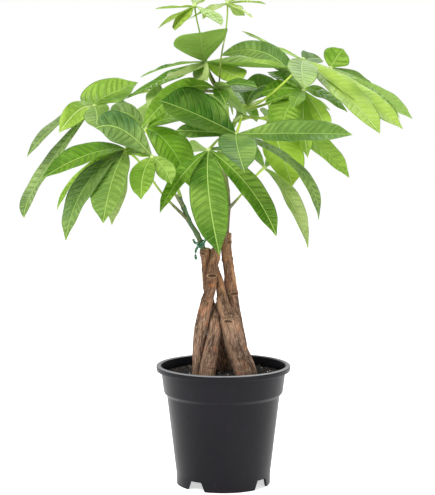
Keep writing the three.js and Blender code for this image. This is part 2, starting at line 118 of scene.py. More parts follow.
class Board:
    """A node tree. node() adds any node: its settings are set first, then its inputs."""

    def __init__(self, tree):
        self.tree = tree

    def node(self, kind, settings=None, inputs=None):
        made = self.tree.nodes.new(kind)
        for name, value in (settings or {}).items():
            setattr(made, name, value)
        for key, value in (inputs or {}).items():
            self.feed(made.inputs[key], value)
        return made

    def feed(self, socket, value):
        if isinstance(value, Wire):
            self.tree.links.new(value.socket, socket)
        else:
            socket.default_value = value

    def out(self, kind, settings=None, inputs=None, output=0):
        return Wire(self, self.node(kind, settings, inputs).outputs[output])

    def math(self, operation, a, b=0.0):
        return self.out("ShaderNodeMath", {"operation": operation}, {0: a, 1: b})

    def mix(self, factor, a, b, blend="MIX"):
        settings = {"data_type": "RGBA", "blend_type": blend}
        return self.out("ShaderNodeMix", settings, {0: factor, 6: a, 7: b}, 2)

    def rise(self, value, low, high):
        """0 below low, 1 above high, smooth between."""
        settings = {"interpolation_type": "SMOOTHSTEP"}
        return self.out("ShaderNodeMapRange", settings, {0: value, 1: low, 2: high})

    def fall(self, value, low, high):
        """1 below low, 0 above high, smooth between."""
        return 1 - self.rise(value, low, high)

    def layered(self, color, layers):
        """The colour under layers of others, each with its share."""
        for share, other in layers:
            color = self.mix(share, color, other)
        return color

    def noise(self, vector, scale, detail=3.0, roughness=0.5):
        inputs = {"Vector": vector, "Scale": scale, "Detail": detail, "Roughness": roughness}
        return self.out("ShaderNodeTexNoise", None, inputs)

    def split(self, vector):
        parts = self.node("ShaderNodeSeparateXYZ", None, {0: vector}).outputs
        return [Wire(self, part) for part in parts]

    def joined(self, x, y, z):
        return self.out("ShaderNodeCombineXYZ", None, {0: x, 1: y, 2: z})

    def scaled(self, vector, factor):
        return self.out("ShaderNodeVectorMath", {"operation": "SCALE"}, {0: vector, 3: factor})

    def place(self):
        """Where each point of the surface lies, in metres."""
        return self.out("ShaderNodeTexCoord", output="Object")

    def mark(self, name, output="Fac"):
        """The value that the mesh keeps under this name for each of its corners."""
        return self.out("ShaderNodeAttribute", {"attribute_name": name}, output=output)


def new_finish(name):
    """An empty Principled material: the material, its board and its shader node."""
    material = bpy.data.materials.new(name)
    material.use_nodes = True
    return material, Board(material.node_tree), material.node_tree.nodes["Principled BSDF"]


floor_mesh = bpy.data.meshes.new("floor")
floor_corners = [(x * FLOOR_HALF, y * FLOOR_HALF, -FLOOR_DROP)
                 for x, y in ((-1, -1), (1, -1), (1, 1), (-1, 1))]
floor_mesh.from_pydata(floor_corners, [], [(0, 1, 2, 3)])
floor = put("floor", floor_mesh)
floor_paint, board, shader = new_finish("floor_paint")
shader.inputs["Base Color"].default_value = (FLOOR_WHITE, FLOOR_WHITE, FLOOR_WHITE, 1)
shader.inputs["Roughness"].default_value = FLOOR_ROUGHNESS
shader.inputs["Emission Color"].default_value = (1, 1, 1, 1)
shader.inputs["Emission Strength"].default_value = FLOOR_GLOW
floor_mesh.materials.append(floor_paint)

sky = bpy.data.worlds.new("sky")
sky.use_nodes = True
board = Board(sky.node_tree)
glow = sky.node_tree.nodes["Background"]
glow.inputs["Color"].default_value = (1, 1, 1, 1)
ray = board.node("ShaderNodeLightPath").outputs
lit_or_mirrored = board.out("ShaderNodeMapRange", None, {
    "Value": Wire(board, ray["Is Glossy Ray"]), "To Min": SKY_LIGHT, "To Max": SKY_SHEEN})
seen = board.out("ShaderNodeMapRange", None, {
    "Value": Wire(board, ray["Is Camera Ray"]), "To Min": lit_or_mirrored, "To Max": 1.0})
board.feed(glow.inputs["Strength"], seen)
bpy.context.scene.world = sky
bpy.context.scene.view_settings.view_transform = "Standard"

for name, spec in LIGHTS.items():
    light = put(name, bpy.data.lights.new(name, "AREA"))
    light.data.size = spec["size"]
    light.data.energy = spec["power"]
    light.location = spec["at"]
    light.rotation_euler = (LIGHT_AIM - light.location).to_track_quat("-Z", "Y").to_euler()

# Pot
# A thin nursery pot, moulded in one piece from black polypropylene: foot ring with four drainage
# notches, raised floor, tapered wall, ledge, wider band and a rolled lip.
POT_HEIGHT = 119
LIP_RADIUS = 66.8
LIP_THICKNESS = 5.5
BAND_TOP_RADIUS = 62
BAND_BOTTOM_RADIUS = 59.2
BAND_BOTTOM_Z = 92
LEDGE_RADIUS = 56.2
LEDGE_Z = 88.6
FOOT_RADIUS = 46.9
FOOT_WIDTH = 2.6
FOOT_HEIGHT = 11
POT_WALL = 1.9
FLOOR_THICKNESS = 2
NOTCH_FROM = -2
NOTCH_HEIGHT = 9
NOTCH_ANGLES = (-36, 54, 144, 234)
NOTCH_BOTTOM_DEG = 27
NOTCH_TOP_DEG = 16
POT_SEGMENTS = 144
POT_SHARP_DEG = 34
CORNER_STEPS = 4
# Radius, height and rounding of each corner, from the middle of the floor's underside round to its top.
POT_CORNERS = [
    (0, FOOT_HEIGHT - FLOOR_THICKNESS, 0),
    (FOOT_RADIUS - FOOT_WIDTH, FOOT_HEIGHT - FLOOR_THICKNESS, 0.6),
    (FOOT_RADIUS - FOOT_WIDTH, 0, 0.3),
    (FOOT_RADIUS - 0.2, 0, 0.4),
    (FOOT_RADIUS, FOOT_HEIGHT, 2),
    (LEDGE_RADIUS, LEDGE_Z, 0.9),
    (BAND_BOTTOM_RADIUS, BAND_BOTTOM_Z, 0.9),
    (BAND_TOP_RADIUS, POT_HEIGHT - LIP_THICKNESS, 0.7),
    (LIP_RADIUS - 0.3, POT_HEIGHT - LIP_THICKNESS, 0.8),
    (LIP_RADIUS, POT_HEIGHT, 1.8),
    (BAND_TOP_RADIUS, POT_HEIGHT, 1.6),
    (BAND_TOP_RADIUS - POT_WALL, POT_HEIGHT - LIP_THICKNESS - 1, 1.2),
    (BAND_BOTTOM_RADIUS - POT_WALL, BAND_BOTTOM_Z, 1.2),
    (LEDGE_RADIUS - POT_WALL, LEDGE_Z, 1.2),
    (FOOT_RADIUS - POT_WALL, FOOT_HEIGHT, 1.5),
    (0, FOOT_HEIGHT, 0),
]


def srgb(red, green, blue):
    """A colour read off the real thing, 0 to 255, as Blender's linear colour."""
    linear = [c / 255 / 12.92 if c <= 10 else ((c / 255 + 0.055) / 1.055) ** 2.4
              for c in (red, green, blue)]
    return (*linear, 1.0)


def coat(board, shader, color, roughness, relief, strength, depth):
    """Feeds a finish's colour, roughness and bump to its shader."""
    board.feed(shader.inputs["Base Color"], color)
    board.feed(shader.inputs["Roughness"], roughness)
    bump = board.out("ShaderNodeBump", None, {"Strength": strength, "Distance": depth, "Height": relief})
    board.feed(shader.inputs["Normal"], bump)


def soften(corners):
    """The outline through the corners, each rounded off by its own radius."""
    outline = []
    for i, (r, z, rounding) in enumerate(corners):
        here = Vector((r, z))
        if rounding == 0:
            outline.append(here)
            continue
        before = Vector(corners[i - 1][:2]) - here
        after = Vector(corners[i + 1][:2]) - here
        start = here + before.normalized() * min(rounding, before.length / 2)
        end = here + after.normalized() * min(rounding, after.length / 2)
        for k in range(CORNER_STEPS + 1):
            t = k / CORNER_STEPS
            outline.append((1 - t) ** 2 * start + 2 * t * (1 - t) * here + t * t * end)
    return outline


def add_piece(name, mesh, material):
    """A finished piece of the plant: its place is in its mesh, and it rides on the whole."""
    mesh.name = name
    piece = put(name, mesh)
    mesh.materials.clear()
    mesh.materials.append(material)
    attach(piece, "root")
    return piece


def plain_mesh(name, verts, faces):
    """A mesh of these corners, in metres, and faces."""
    mesh = bpy.data.meshes.new(name)
    mesh.from_pydata(verts, [], faces)
    return mesh


def circle(radius, height, segments):
    """Points round the pot's axis."""
    angles = [2 * math.pi * k / segments for k in range(segments)]
    return [(radius * MM * math.cos(angle), radius * MM * math.sin(angle), height * MM) for angle in angles]


def turned(outline, segments):
    """The outline turned round the pot's axis. Its first and last points lie on the axis."""
    verts = [(0, 0, outline[0].y * MM)]
    for point in outline[1:-1]:
        verts.extend(circle(point.x, point.y, segments))
    verts.append((0, 0, outline[-1].y * MM))
    last_ring = 1 + (len(outline) - 3) * segments
    faces = []
    for k in range(segments):
        after = (k + 1) % segments
        faces.append((0, 1 + after, 1 + k))
        faces.append((len(verts) - 1, last_ring + k, last_ring + after))
        for ring in range(1, last_ring, segments):
            faces.append((ring + k, ring + after, ring + after + segments, ring + k + segments))
    return plain_mesh("turned", verts, faces)


def notch_blocks():
    """Four blocks with slanted ends that reach through the foot ring."""
    verts = []
    faces = []
    inner = FOOT_RADIUS - 3 * FOOT_WIDTH
    outer = FOOT_RADIUS + 2 * FOOT_WIDTH
    low = FOOT_RADIUS * math.tan(math.radians(NOTCH_BOTTOM_DEG / 2))
    high = FOOT_RADIUS * math.tan(math.radians(NOTCH_TOP_DEG / 2))
    ends = ((-low, NOTCH_FROM), (low, NOTCH_FROM), (high, NOTCH_HEIGHT), (-high, NOTCH_HEIGHT))
    for degrees in NOTCH_ANGLES:
        angle = math.radians(degrees)
        out = Vector((math.sin(angle), -math.cos(angle), 0))
        along = Vector((math.cos(angle), math.sin(angle), 0))
        start = len(verts)
        for reach in (inner, outer):
            for half, z in ends:
                verts.append((out * reach + along * half + Vector((0, 0, z))) * MM)
        for face in ((3, 2, 1, 0), (4, 5, 6, 7), (0, 1, 5, 4), (1, 2, 6, 5), (2, 3, 7, 6), (3, 0, 4, 7)):
            faces.append([start + corner for corner in face])
    return plain_mesh("notches", verts, faces)


pot_plastic, board, shader = new_finish("pot_plastic")
place = board.place()
x, y, z = board.split(place)
clouds = board.noise(place, 22.0, 4.0, 0.6)
streaks = board.noise(board.joined(x * 240, y * 240, z * 9), 1.0, 3.0)
grain = board.noise(place, 2600.0, 2.0)
turn_angle = board.math("ARCTAN2", y, x)
seam = board.fall(board.math("ABSOLUTE", board.math("SINE", turn_angle + 0.35)), 0.003, 0.01)
scuff = board.rise(board.noise(place, 90.0, 6.0, 0.7), 0.56, 0.74)
# A pale line along the lip's crest: painted highlight where the rounded rim catches the light.
crest_highlight = board.rise(z, (POT_HEIGHT - 1.2) * MM, (POT_HEIGHT - 0.3) * MM)
plastic = board.layered(board.mix(clouds, srgb(11, 9, 14), srgb(17, 14, 21)), (
    (scuff * 0.3, srgb(40, 37, 45)), (crest_highlight * 0.7, srgb(150, 150, 154))))
relief = grain * 0.25 + streaks * 0.3 + seam
coat(board, shader, plastic, 0.27 + streaks * 0.14 + clouds * 0.08, relief, 0.35, 0.0002)
shader.inputs["Specular IOR Level"].default_value = 0.15


def smooth(mesh, sharp_degrees):
    """Shades the mesh smoothly, but for edges where it turns by more than this."""
    mesh.shade_smooth()
    mesh.set_sharp_from_angle(angle=math.radians(sharp_degrees))


def worked(source):
    """The mesh of an object with its modifiers applied."""
    return bpy.data.meshes.new_from_object(source.evaluated_get(bpy.context.evaluated_depsgraph_get()))


pot_blank = put("pot_blank", turned(soften(POT_CORNERS), POT_SEGMENTS))
cutter = put("notch_cutter", notch_blocks())
notching = pot_blank.modifiers.new("notches", "BOOLEAN")
notching.object = cutter
notching.operation = "DIFFERENCE"
notching.solver = "EXACT"
pot_mesh = worked(pot_blank)
for helper in (pot_blank, cutter):
    bpy.data.objects.remove(helper)
smooth(pot_mesh, POT_SHARP_DEG)
pot = add_piece("nursery_pot", pot_mesh, pot_plastic)
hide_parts("pot")

# Soil
# Dark peat and bark mix that fills the pot to just under its lip, loose on top, with white grains of
# perlite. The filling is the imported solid; the crumbs are scattered over it.
SOIL_MIDDLE_Z = 111
# Radius and height of the soil's surface, from the rim of its level middle out to the pot's wall.
SOIL_RINGS = [(26, SOIL_MIDDLE_Z), (42, 109.4), (58.6, 108.5)]
SOIL_SIDES = 48
GRAINS_PER_SQUARE_METRE = 9e6
# Least and most of each grain's three widths, as shares of its size.
GRAIN_SLIMMEST = (0.55, 0.7, 0.5)
GRAIN_STOUTEST = (1, 1.2, 0.9)
FULL_TURNS = (6.28, 6.28, 6.28)
SCATTERS = {
    "soil_crumbs": {"spacing": 1.7, "small": 0.9, "large": 2.3, "seed": 3, "share": 1.0, "rough": 0.5},
    "bark_chips": {"spacing": 8.5, "small": 1.6, "large": 3.4, "seed": 8, "share": 0.5, "rough": 0.9},
    "perlite": {"spacing": 7.5, "small": 0.8, "large": 1.9, "seed": 21, "share": 0.7, "rough": 0.35},
}


def soil_top():
    """The soil's surface as a fan of rings, for grains to lie on."""
    verts = [(0, 0, SOIL_MIDDLE_Z * MM)]
    faces = []
    for ring, (radius, height) in enumerate(SOIL_RINGS):
        verts.extend(circle(radius, height, SOIL_SIDES))
        outer = 1 + ring * SOIL_SIDES
        inner = outer - SOIL_SIDES
        for k in range(SOIL_SIDES):
            after = (k + 1) % SOIL_SIDES
            if ring == 0:
                faces.append((0, outer + k, outer + after))
            else:
                faces.append((inner + k, outer + k, outer + after, inner + after))
    return plain_mesh("soil_top", verts, faces)


def new_tree(name, inputs, result):
    """A geometry tree: the tree, the identifiers that a modifier sets its inputs by, its board, and
    the wires of its inputs. Each input has a key, a label, a kind of socket and a usual value."""
    tree = bpy.data.node_groups.new(name, "GeometryNodeTree")
    ids = {}
    for key, label, kind, value in inputs:
        item = tree.interface.new_socket(label, in_out="INPUT", socket_type="NodeSocket" + kind)
        if value is not None:
            item.default_value = value
        ids[key] = item.identifier
    tree.interface.new_socket(result, in_out="OUTPUT", socket_type="NodeSocketGeometry")
    grid = Board(tree)
    given = grid.node("NodeGroupInput").outputs
    return tree, ids, grid, [Wire(grid, given[k]) for k in range(len(inputs))]


def close_tree(grid, made, material):
    """Ends a geometry tree: what it made becomes plain mesh, with the material on it."""
    made = grid.out("GeometryNodeRealizeInstances", None, {0: made})
    made = grid.out("GeometryNodeSetMaterial", None, {"Geometry": made, "Material": material})
    grid.feed(grid.node("NodeGroupOutput").inputs[0], made)


def scatter_tree():
    """Grains scattered on a surface, each turned and sized at random and roughened by noise."""
    tree, ids, grid, given = new_tree("scattered_grains", (
        ("surface", "Surface", "Geometry", None), ("spacing", "Spacing", "Float", 0.003),
        ("small", "Smallest", "Float", 0.001), ("large", "Largest", "Float", 0.002),
        ("share", "Share kept", "Float", 1.0), ("rough", "Roughness", "Float", 0.5),
        ("seed", "Seed", "Int", 1), ("material", "Material", "Material", None)), "Grains")
    surface, spacing, small, large, share, rough, seed, material = given
    spots = grid.out("GeometryNodeDistributePointsOnFaces", {"distribute_method": "POISSON"},
                     {"Mesh": surface, "Distance Min": spacing, "Density Max": GRAINS_PER_SQUARE_METRE,
                      "Density Factor": share, "Seed": seed})
    grain = grid.out("GeometryNodeMeshIcoSphere", None, {"Radius": 1.0, "Subdivisions": 1})
    turn = grid.out("FunctionNodeRandomValue", {"data_type": "FLOAT_VECTOR"},
                    {0: (0, 0, 0), 1: FULL_TURNS, "Seed": seed + 1})
    squash = grid.out("FunctionNodeRandomValue", {"data_type": "FLOAT_VECTOR"},
                      {0: GRAIN_SLIMMEST, 1: GRAIN_STOUTEST, "Seed": seed + 2})
    size = grid.out("FunctionNodeRandomValue", {"data_type": "FLOAT"},
                    {2: small, 3: large, "Seed": seed + 3}, 1)
    grains = grid.out("GeometryNodeInstanceOnPoints", None,
                      {"Points": spots, "Instance": grain, "Rotation": turn,
                       "Scale": grid.scaled(squash, size)})
    grains = grid.out("GeometryNodeRealizeInstances", None, {0: grains})
    lumps = grid.noise(grid.out("GeometryNodeInputPosition"), 700.0, 2.0) - 0.5
    push = grid.scaled(grid.out("GeometryNodeInputNormal"), lumps * rough * large)
    grains = grid.out("GeometryNodeSetPosition", None, {"Geometry": grains, "Offset": push})
    close_tree(grid, grains, material)
    return tree, ids


def through(tree, ids, source, values):
    """The mesh that a geometry tree makes of the source object with these inputs."""
    modifier = source.modifiers.new("made", "NODES")
    modifier.node_group = tree
    for name, value in values.items():
        modifier[ids[name]] = value
    mesh = worked(source)
    source.modifiers.remove(modifier)
    return mesh


def earth_finish(name, dark, light, roughness):
    """Crumbly matter between two colours, uneven at the size of a crumb and of a grain."""
    material, board, shader = new_finish(name)
    place = board.place()
    patches = board.noise(place, 240.0, 3.0, 0.6)
    specks = board.noise(place, 1900.0, 2.0, 0.6)
    blend = board.rise(patches * 0.6 + specks * 0.4, 0.35, 0.65)
    color = board.mix(blend, dark, light)
    coat(board, shader, color, roughness - 0.1 * specks, patches + specks, 0.6, 0.0004)
    return material


earth = earth_finish("soil_earth", srgb(11, 8, 7), srgb(36, 28, 23), 1.0)
chip_bark = earth_finish("soil_bark", srgb(30, 22, 17), srgb(74, 56, 43), 0.9)
perlite_white = earth_finish("perlite_white", srgb(196, 192, 184), srgb(238, 236, 230), 0.85)
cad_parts["soil"].data.materials.clear()
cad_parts["soil"].data.materials.append(earth)
grain_tree, grain_ids = scatter_tree()
surface = put("soil_surface", soil_top())
for (name, spec), material in zip(SCATTERS.items(), (earth, chip_bark, perlite_white)):
    values = {key: spec[key] * MM for key in ("spacing", "small", "large")}
    values.update({key: spec[key] for key in ("share", "rough", "seed")})
    values["material"] = material
    add_piece(name, through(grain_tree, grain_ids, surface, values), material)
bpy.data.objects.remove(surface)

# Woody stems
# Five young trunks, braided by hand while they were soft. The bark is finely ridged low down and
# smoother above, with old leaf scars, and each top was cut off and has dried.
TRUNKS = {
    "trunk_3": [(26, -10, 62, 9.5), (22, -12, 112, 11.2), (13, -13, 137, 10.6), (8, -14, 158, 9.8),
                (5, -13, 169, 8.4), (0, -11, 180, 6.4), (-2, -7, 191, 4.8), (-4, -1, 202, 4.2),
                (-8, 5, 212, 4.2), (-11, 9, 222, 4.2), (-11, 10, 233, 4.4)],
    "trunk_2": [(-15, -22, 62, 7.2), (-16, -22, 113, 8.1), (-13, -20, 132, 7.6), (-9, -14, 153, 6.4),
                (-6, -2, 173, 5.6), (2, 6, 184, 4.5), (6, 12, 194, 4.5), (6, 13, 212, 4.5),
                (4, 13, 231, 4.6)],
    "trunk_1": [(-26, -12, 62, 6.2), (-24, -14, 112, 6.8), (-24, -14, 137, 6.3), (-22, -14, 158, 6.6),
                (-16, -12, 185, 5.9), (-12, -11, 199, 5.1), (-11, -9, 215, 4.9), (-8, -8, 227, 4.7),
                (-7, -7, 236, 4.7)],
    "trunk_4": [(20, 22, 62, 7), (19, 20, 106, 7.4), (17, 14, 136, 6.8), (14, 8, 157, 5.9),
                (11, 4, 177, 5.3), (8, 2, 197, 5.5), (5, 2, 217, 5.3), (3, 3, 233, 5.2), (3, 4, 250, 5)],
    "trunk_5": [(0, 11, 62, 7.6), (1, 10, 107, 8.4), (-2, 12, 131, 6.8), (-5, 12, 149, 5.6),
                (-10, 9, 167, 4.8), (-14, 5, 185, 4.6), (-16, 1, 202, 4.6), (-17, 0, 219, 4.5),
                (-18, -2, 235, 5)],
}
# Old leaf scars and knots: height up the plant, how far the stem swells there, half the swelling's
# length, the way the scar faces, in degrees from the viewer's side towards +X, and half its width. The
# two long rows of trunk_2 are the plain swellings where it bends behind the others.
SCARS = {
    "trunk_1": [(209.5, 0.6, 1.5, 8, 4.6), (185, 0.3, 2.0, -22, 2.2), (226, 0.4, 1.4, -60, 2.5),
                (158, 0.2, 2.0, 150, 4)],
    "trunk_2": [(163, 1.0, 11, 200, 3), (199, 1.5, 8, 170, 3), (215, 0.5, 1.6, 170, 3)],
    "trunk_3": [(165.5, 0.9, 2.4, -8, 4.4), (186, 0.4, 1.6, 100, 3), (214, 0.4, 1.4, -120, 3)],
    "trunk_4": [(190, 0.8, 1.8, 22, 4.2), (224, 0.8, 1.4, 70, 2.2), (206, 0.4, 1.5, 170, 3),
                (241, 0.6, 1.5, 30, 2.4)],
    "trunk_5": [(230.5, 1.0, 3.4, -30, 3.4), (214, 0.4, 1.4, -70, 2), (196, 0.4, 1.5, 150, 3)],
}
SCAR_SLIMNESS = 2.6
SCAR_FAR = 9.0
CREVICE_REACH = 2.0
# Only every third point of another stem is measured to, which is near enough for a shadow.
CREVICE_STRIDE = 3
STEM_STEP = 1.4
STEM_SHARP_DEG = 50
CUT_ROUNDING = 0.9
# Each row of a cut top's edge: how far it lies before the end and how much slimmer it is, in roundings.
CUT_EDGE = ((0.5, 0), (0, 0.4), (-0.25, 1.4))
BARK_RIDGES = {"sides": 72, "depth": 0.42 * MM, "width": 2.1 * MM, "length": 17 * MM}


def route(rows, step):
    """Points and radii along a centripetal spline through [x, y, z, radius] rows."""
    rows = [np.array(row, float) for row in rows]
    ends = [2 * rows[0] - rows[1], *rows, 2 * rows[-1] - rows[-2]]
    path = []
    for p0, p1, p2, p3 in zip(ends, ends[1:], ends[2:], ends[3:]):
        gaps = [max(np.linalg.norm((b - a)[:3]), 1e-4) ** 0.5 for a, b in ((p0, p1), (p1, p2), (p2, p3))]
        out = ((p1 - p0) / gaps[0] - (p2 - p0) / (gaps[0] + gaps[1]) + (p2 - p1) / gaps[1]) * gaps[1]
        into = ((p2 - p1) / gaps[1] - (p3 - p1) / (gaps[1] + gaps[2]) + (p3 - p2) / gaps[2]) * gaps[1]
        steps = max(2, round(np.linalg.norm((p2 - p1)[:3]) / step))
        for t in np.arange(steps) / steps:
            point = p1 + out * t + (-3 * p1 + 3 * p2 - 2 * out - into) * t ** 2
            point = point + (2 * p1 - 2 * p2 + out + into) * t ** 3
            point[3] = p1[3] + (p2[3] - p1[3]) * t
            path.append(point)
    path.append(rows[-1])
    return path


def stem_curve(path):
    """A curve through the path, with each point's radius, for a geometry tree to sweep along."""
    curve = bpy.data.curves.new("stem", "CURVE")
    curve.dimensions = "3D"
    spline = curve.splines.new("POLY")
    spline.points.add(len(path) - 1)
    for point, (x, y, z, radius) in zip(spline.points, path):
        point.co = (x * MM, y * MM, z * MM, 1)
        point.radius = radius * MM
    return put("stem", curve)


def stem_tree():
    """A round stem swept along a curve, its skin raised in long ridges. It keeps where each point
    lies round and along the stem, which the bark's pattern follows."""
    tree, ids, grid, given = new_tree("grown_stem", (
        ("path", "Path", "Geometry", None), ("sides", "Sides", "Int", 24),
        ("depth", "Ridge depth", "Float", 0.0005), ("width", "Ridge width", "Float", 0.002),
        ("length", "Ridge length", "Float", 0.016), ("material", "Material", "Material", None)), "Stem")
    path, sides, depth, width, length, material = given
    radius = grid.out("GeometryNodeInputRadius")

    def keep(geometry, name, kind, value):
        return grid.out("GeometryNodeStoreNamedAttribute", {"data_type": kind, "domain": "POINT"},
                        {"Geometry": geometry, "Name": name, "Value": value})

    def kept(name, kind):
        return grid.out("GeometryNodeInputNamedAttribute", {"data_type": kind}, {"Name": name})

    path = keep(path, "along", "FLOAT", grid.out("GeometryNodeSplineParameter", output="Length"))
    path = keep(path, "share", "FLOAT", grid.out("GeometryNodeSplineParameter", output="Factor"))
    path = keep(path, "girth", "FLOAT", radius)
    ring = grid.out("GeometryNodeCurvePrimitiveCircle", {"mode": "RADIUS"},
                    {"Resolution": sides, "Radius": 1.0})
    ring = keep(ring, "around", "FLOAT_VECTOR", grid.out("GeometryNodeInputPosition"))
    stem = grid.out("GeometryNodeCurveToMesh", None,
                    {"Curve": path, "Profile Curve": ring, "Fill Caps": True, "Scale": radius})
    turn = grid.scaled(kept("around", "FLOAT_VECTOR"), kept("girth", "FLOAT") / width)
    turn_x, turn_y, _ = grid.split(turn)
    ridges = grid.noise(grid.joined(turn_x, turn_y, kept("along", "FLOAT") / length), 1.0, 3.0, 0.55)
    push = grid.scaled(grid.out("GeometryNodeInputNormal"), (ridges - 0.5) * depth * 2)
    stem = grid.out("GeometryNodeSetPosition", None, {"Geometry": stem, "Offset": push})
    close_tree(grid, stem, material)
    return tree, ids


def grow(path, ridges, material):
    """The mesh of one stem along the path, with this many sides and ridges of these sizes."""
    line = stem_curve(path)
    mesh = through(stem_maker, stem_ids, line, {**ridges, "material": material})
    bpy.data.objects.remove(line)
    smooth(mesh, STEM_SHARP_DEG)
    return mesh


def swell(path, height, stand, half_length):
    """Thickens the path round one height."""
    for point in path:
        point[3] += stand * math.exp(-((point[2] - height) / half_length) ** 2)


def mark_skin(mesh, path, scars, neighbours):
    """Stores for each corner of the skin its offset from the nearest scar, in scar sizes, and how near it
    lies to another stem, which sets the shade painted there."""
    corners = np.empty(3 * len(mesh.vertices))
    mesh.vertices.foreach_get("co", corners)
    corners = corners.reshape(-1, 3) / MM
    rows = np.array(sorted(path, key=lambda point: point[2]))
    centre_x, centre_y, girth = [np.interp(corners[:, 2], rows[:, 2], rows[:, axis]) for axis in (0, 1, 3)]
    facing = np.degrees(np.arctan2(corners[:, 0] - centre_x, centre_y - corners[:, 1]))
    nearest = np.full((len(corners), 2), SCAR_FAR)
    for scar_z, _, _, scar_facing, half_width in scars:
        turn = np.radians((facing - scar_facing + 180) % 360 - 180)
        rise = (corners[:, 2] - scar_z) * SCAR_SLIMNESS
        offset = np.stack([turn * girth, rise], -1) / half_width
        closer = np.linalg.norm(offset, axis=1) < np.linalg.norm(nearest, axis=1)
        nearest[closer] = offset[closer]
    gap = np.full(len(corners), np.inf)
    for other in neighbours:
        other = np.array(other)[::CREVICE_STRIDE]
        away = np.linalg.norm(corners[:, None, :] - other[None, :, :3], axis=2) - other[None, :, 3]
        gap = np.minimum(gap, away.min(axis=1))
    crevice_shade = np.exp(-np.maximum(gap, 0) / CREVICE_REACH)
    marks = np.column_stack([nearest, crevice_shade])
    mesh.attributes.new("marks", "FLOAT_VECTOR", "POINT").data.foreach_set("vector", marks.ravel())


def bark_finish():
    """Ridged young bark: tan to grey-brown, redder above, dark in the furrows and at the scars, and painted
    shade where it lies close against another stem.
    """
    material, board, shader = new_finish("braid_bark")
    turn_x, turn_y, _ = board.split(board.mark("around", "Vector"))
    scar_across, scar_up, crevice_shade = board.split(board.mark("marks", "Vector"))
    along = board.mark("along")
    girth = board.mark("girth")
    place = board.place()
    height = board.split(place)[2]

    def skin(width, length):
        return board.joined(turn_x * girth / width, turn_y * girth / width, along / length)

    ridges = board.noise(skin(0.0016, 0.013), 1.0, 3.0, 0.6)
    threads = board.noise(skin(0.0006, 0.006), 1.0, 3.0, 0.65)
    patches = board.noise(skin(0.009, 0.03), 1.0, 3.0, 0.6)
    rings = board.noise(skin(0.02, 0.0016), 1.0, 2.0, 0.5)
    flushes = board.noise(skin(0.011, 0.013), 1.0, 3.0, 0.6)
    aged = board.fall(height, 0.15, 0.215)
    old = board.mix(board.rise(patches, 0.38, 0.62), srgb(72, 51, 39), srgb(134, 104, 84))
    young = board.mix(board.rise(patches, 0.4, 0.6), srgb(88, 57, 36), srgb(166, 120, 84))
    furrow = board.fall(ridges * 0.6 + threads * 0.4, 0.37, 0.53)
    ring = board.rise(rings, 0.66, 0.74)
    ragged = (threads - 0.5) * 1.6
    far = board.math("SQRT", scar_across * scar_across + scar_up * scar_up) + ragged * 0.5
    rim = board.rise(far, 0.75, 1.1) * board.fall(far, 1.1, 1.7)
    crack_line = board.math("ABSOLUTE", scar_up + scar_across * scar_across * 0.7 - 0.3 + ragged * 0.4)
    crack_end = board.fall(board.math("ABSOLUTE", scar_across), 0.6, 1.15)
    crack = board.fall(crack_line, 0.1, 0.45) * crack_end
    color = board.layered(board.mix(aged, young, old), (
        (board.rise(height, 0.214, 0.236) * 0.6, srgb(66, 47, 27)),
        (board.rise(flushes, 0.55, 0.7) * 0.45, srgb(178, 104, 62)),
        (board.rise(threads, 0.48, 0.64) * (0.3 + 0.25 * aged), srgb(204, 172, 142)),
        (furrow * (0.22 + 0.3 * aged), srgb(48, 32, 24)),
        (ring * 0.6, srgb(70, 48, 34)),
        (board.fall(far, 0.5, 1.0) * 0.5, srgb(96, 62, 42)),
        (rim * 0.5, srgb(186, 148, 110)),
        (crack * 0.9, srgb(30, 21, 16)),
        # Darker where the stem lies close against another: painted shade.
        (board.rise(crevice_shade, 0.2, 0.8) * 0.7, srgb(50, 34, 25))))
    cut = board.rise(board.mark("share"), 0.9965, 0.9985)
    dry_wood = board.mix(board.noise(place, 420.0, 4.0, 0.7), srgb(112, 84, 58), srgb(196, 166, 126))
    relief = (ridges + threads * 0.6) * (0.35 + 0.5 * aged) - ring * 0.4 + rim * 0.5 - crack
    coat(board, shader, board.mix(cut, color, dry_wood), 0.7 + 0.2 * patches, relief, 1.0, 0.0012)
    shader.inputs["Specular IOR Level"].default_value = 0.3
    return material


stem_maker, stem_ids = stem_tree()
bark = bark_finish()
trunk_paths = {name: route(rows, STEM_STEP) for name, rows in TRUNKS.items()}
for name, path in trunk_paths.items():
    for scar_z, stand, half_length, _, _ in SCARS[name]:
        swell(path, scar_z, stand, half_length)
for name, path in trunk_paths.items():
    end = path[-1]
    down = (path[-2] - end) / np.linalg.norm((path[-2] - end)[:3])
    edge = [end + down * before * CUT_ROUNDING for before, _ in CUT_EDGE]
    for point, (_, slimmer) in zip(edge, CUT_EDGE):
        point[3] = end[3] - slimmer * CUT_ROUNDING
    mesh = grow([*path[:-1], *edge], BARK_RIDGES, bark)
    mark_skin(mesh, path, SCARS[name], [other for key, other in trunk_paths.items() if key != name])
    trunk = add_piece(name + "_bark", mesh, bark)
    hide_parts(name)

# Green shoots
# Two soft green shoots that sprouted from cut tops after the braid was made. They taper a little and
# bend at each joint where a leaf stalk leaves.
SHOOTS = {
    "shoot_left": [(-18, -1, 228, 2.6), (-21, -4, 238, 2.6), (-26, -8, 250, 2.4), (-33, -13, 262, 2.3),
                   (-38, -19, 275, 2.3), (-41, -22, 283, 2), (-43, -27, 291, 1.6)],
    "shoot_main": [(3, 4, 243, 2.4), (4, 5, 261, 2.3), (5, 4, 278, 2.2), (3, 2, 300, 2.1),
                   (0, 0, 322, 2), (3, 0, 342, 2), (10, 0, 357, 2.1), (15, 0, 369, 2.2), (8, 0, 381, 1.9),
                   (-6, 0, 393, 1.8)],
}
# Heights of the joints on each shoot, where it is a little swollen.
JOINTS = {
    "shoot_left": [250, 265, 277, 288],
    "shoot_main": [275, 292, 335, 356, 369, 388],
}
JOINT_SWELLING = 0.45
JOINT_HALF_LENGTH = 2.2
SHOOT_RIDGES = {"sides": 28, "depth": 0.1 * MM, "width": 1.2 * MM, "length": 12 * MM}


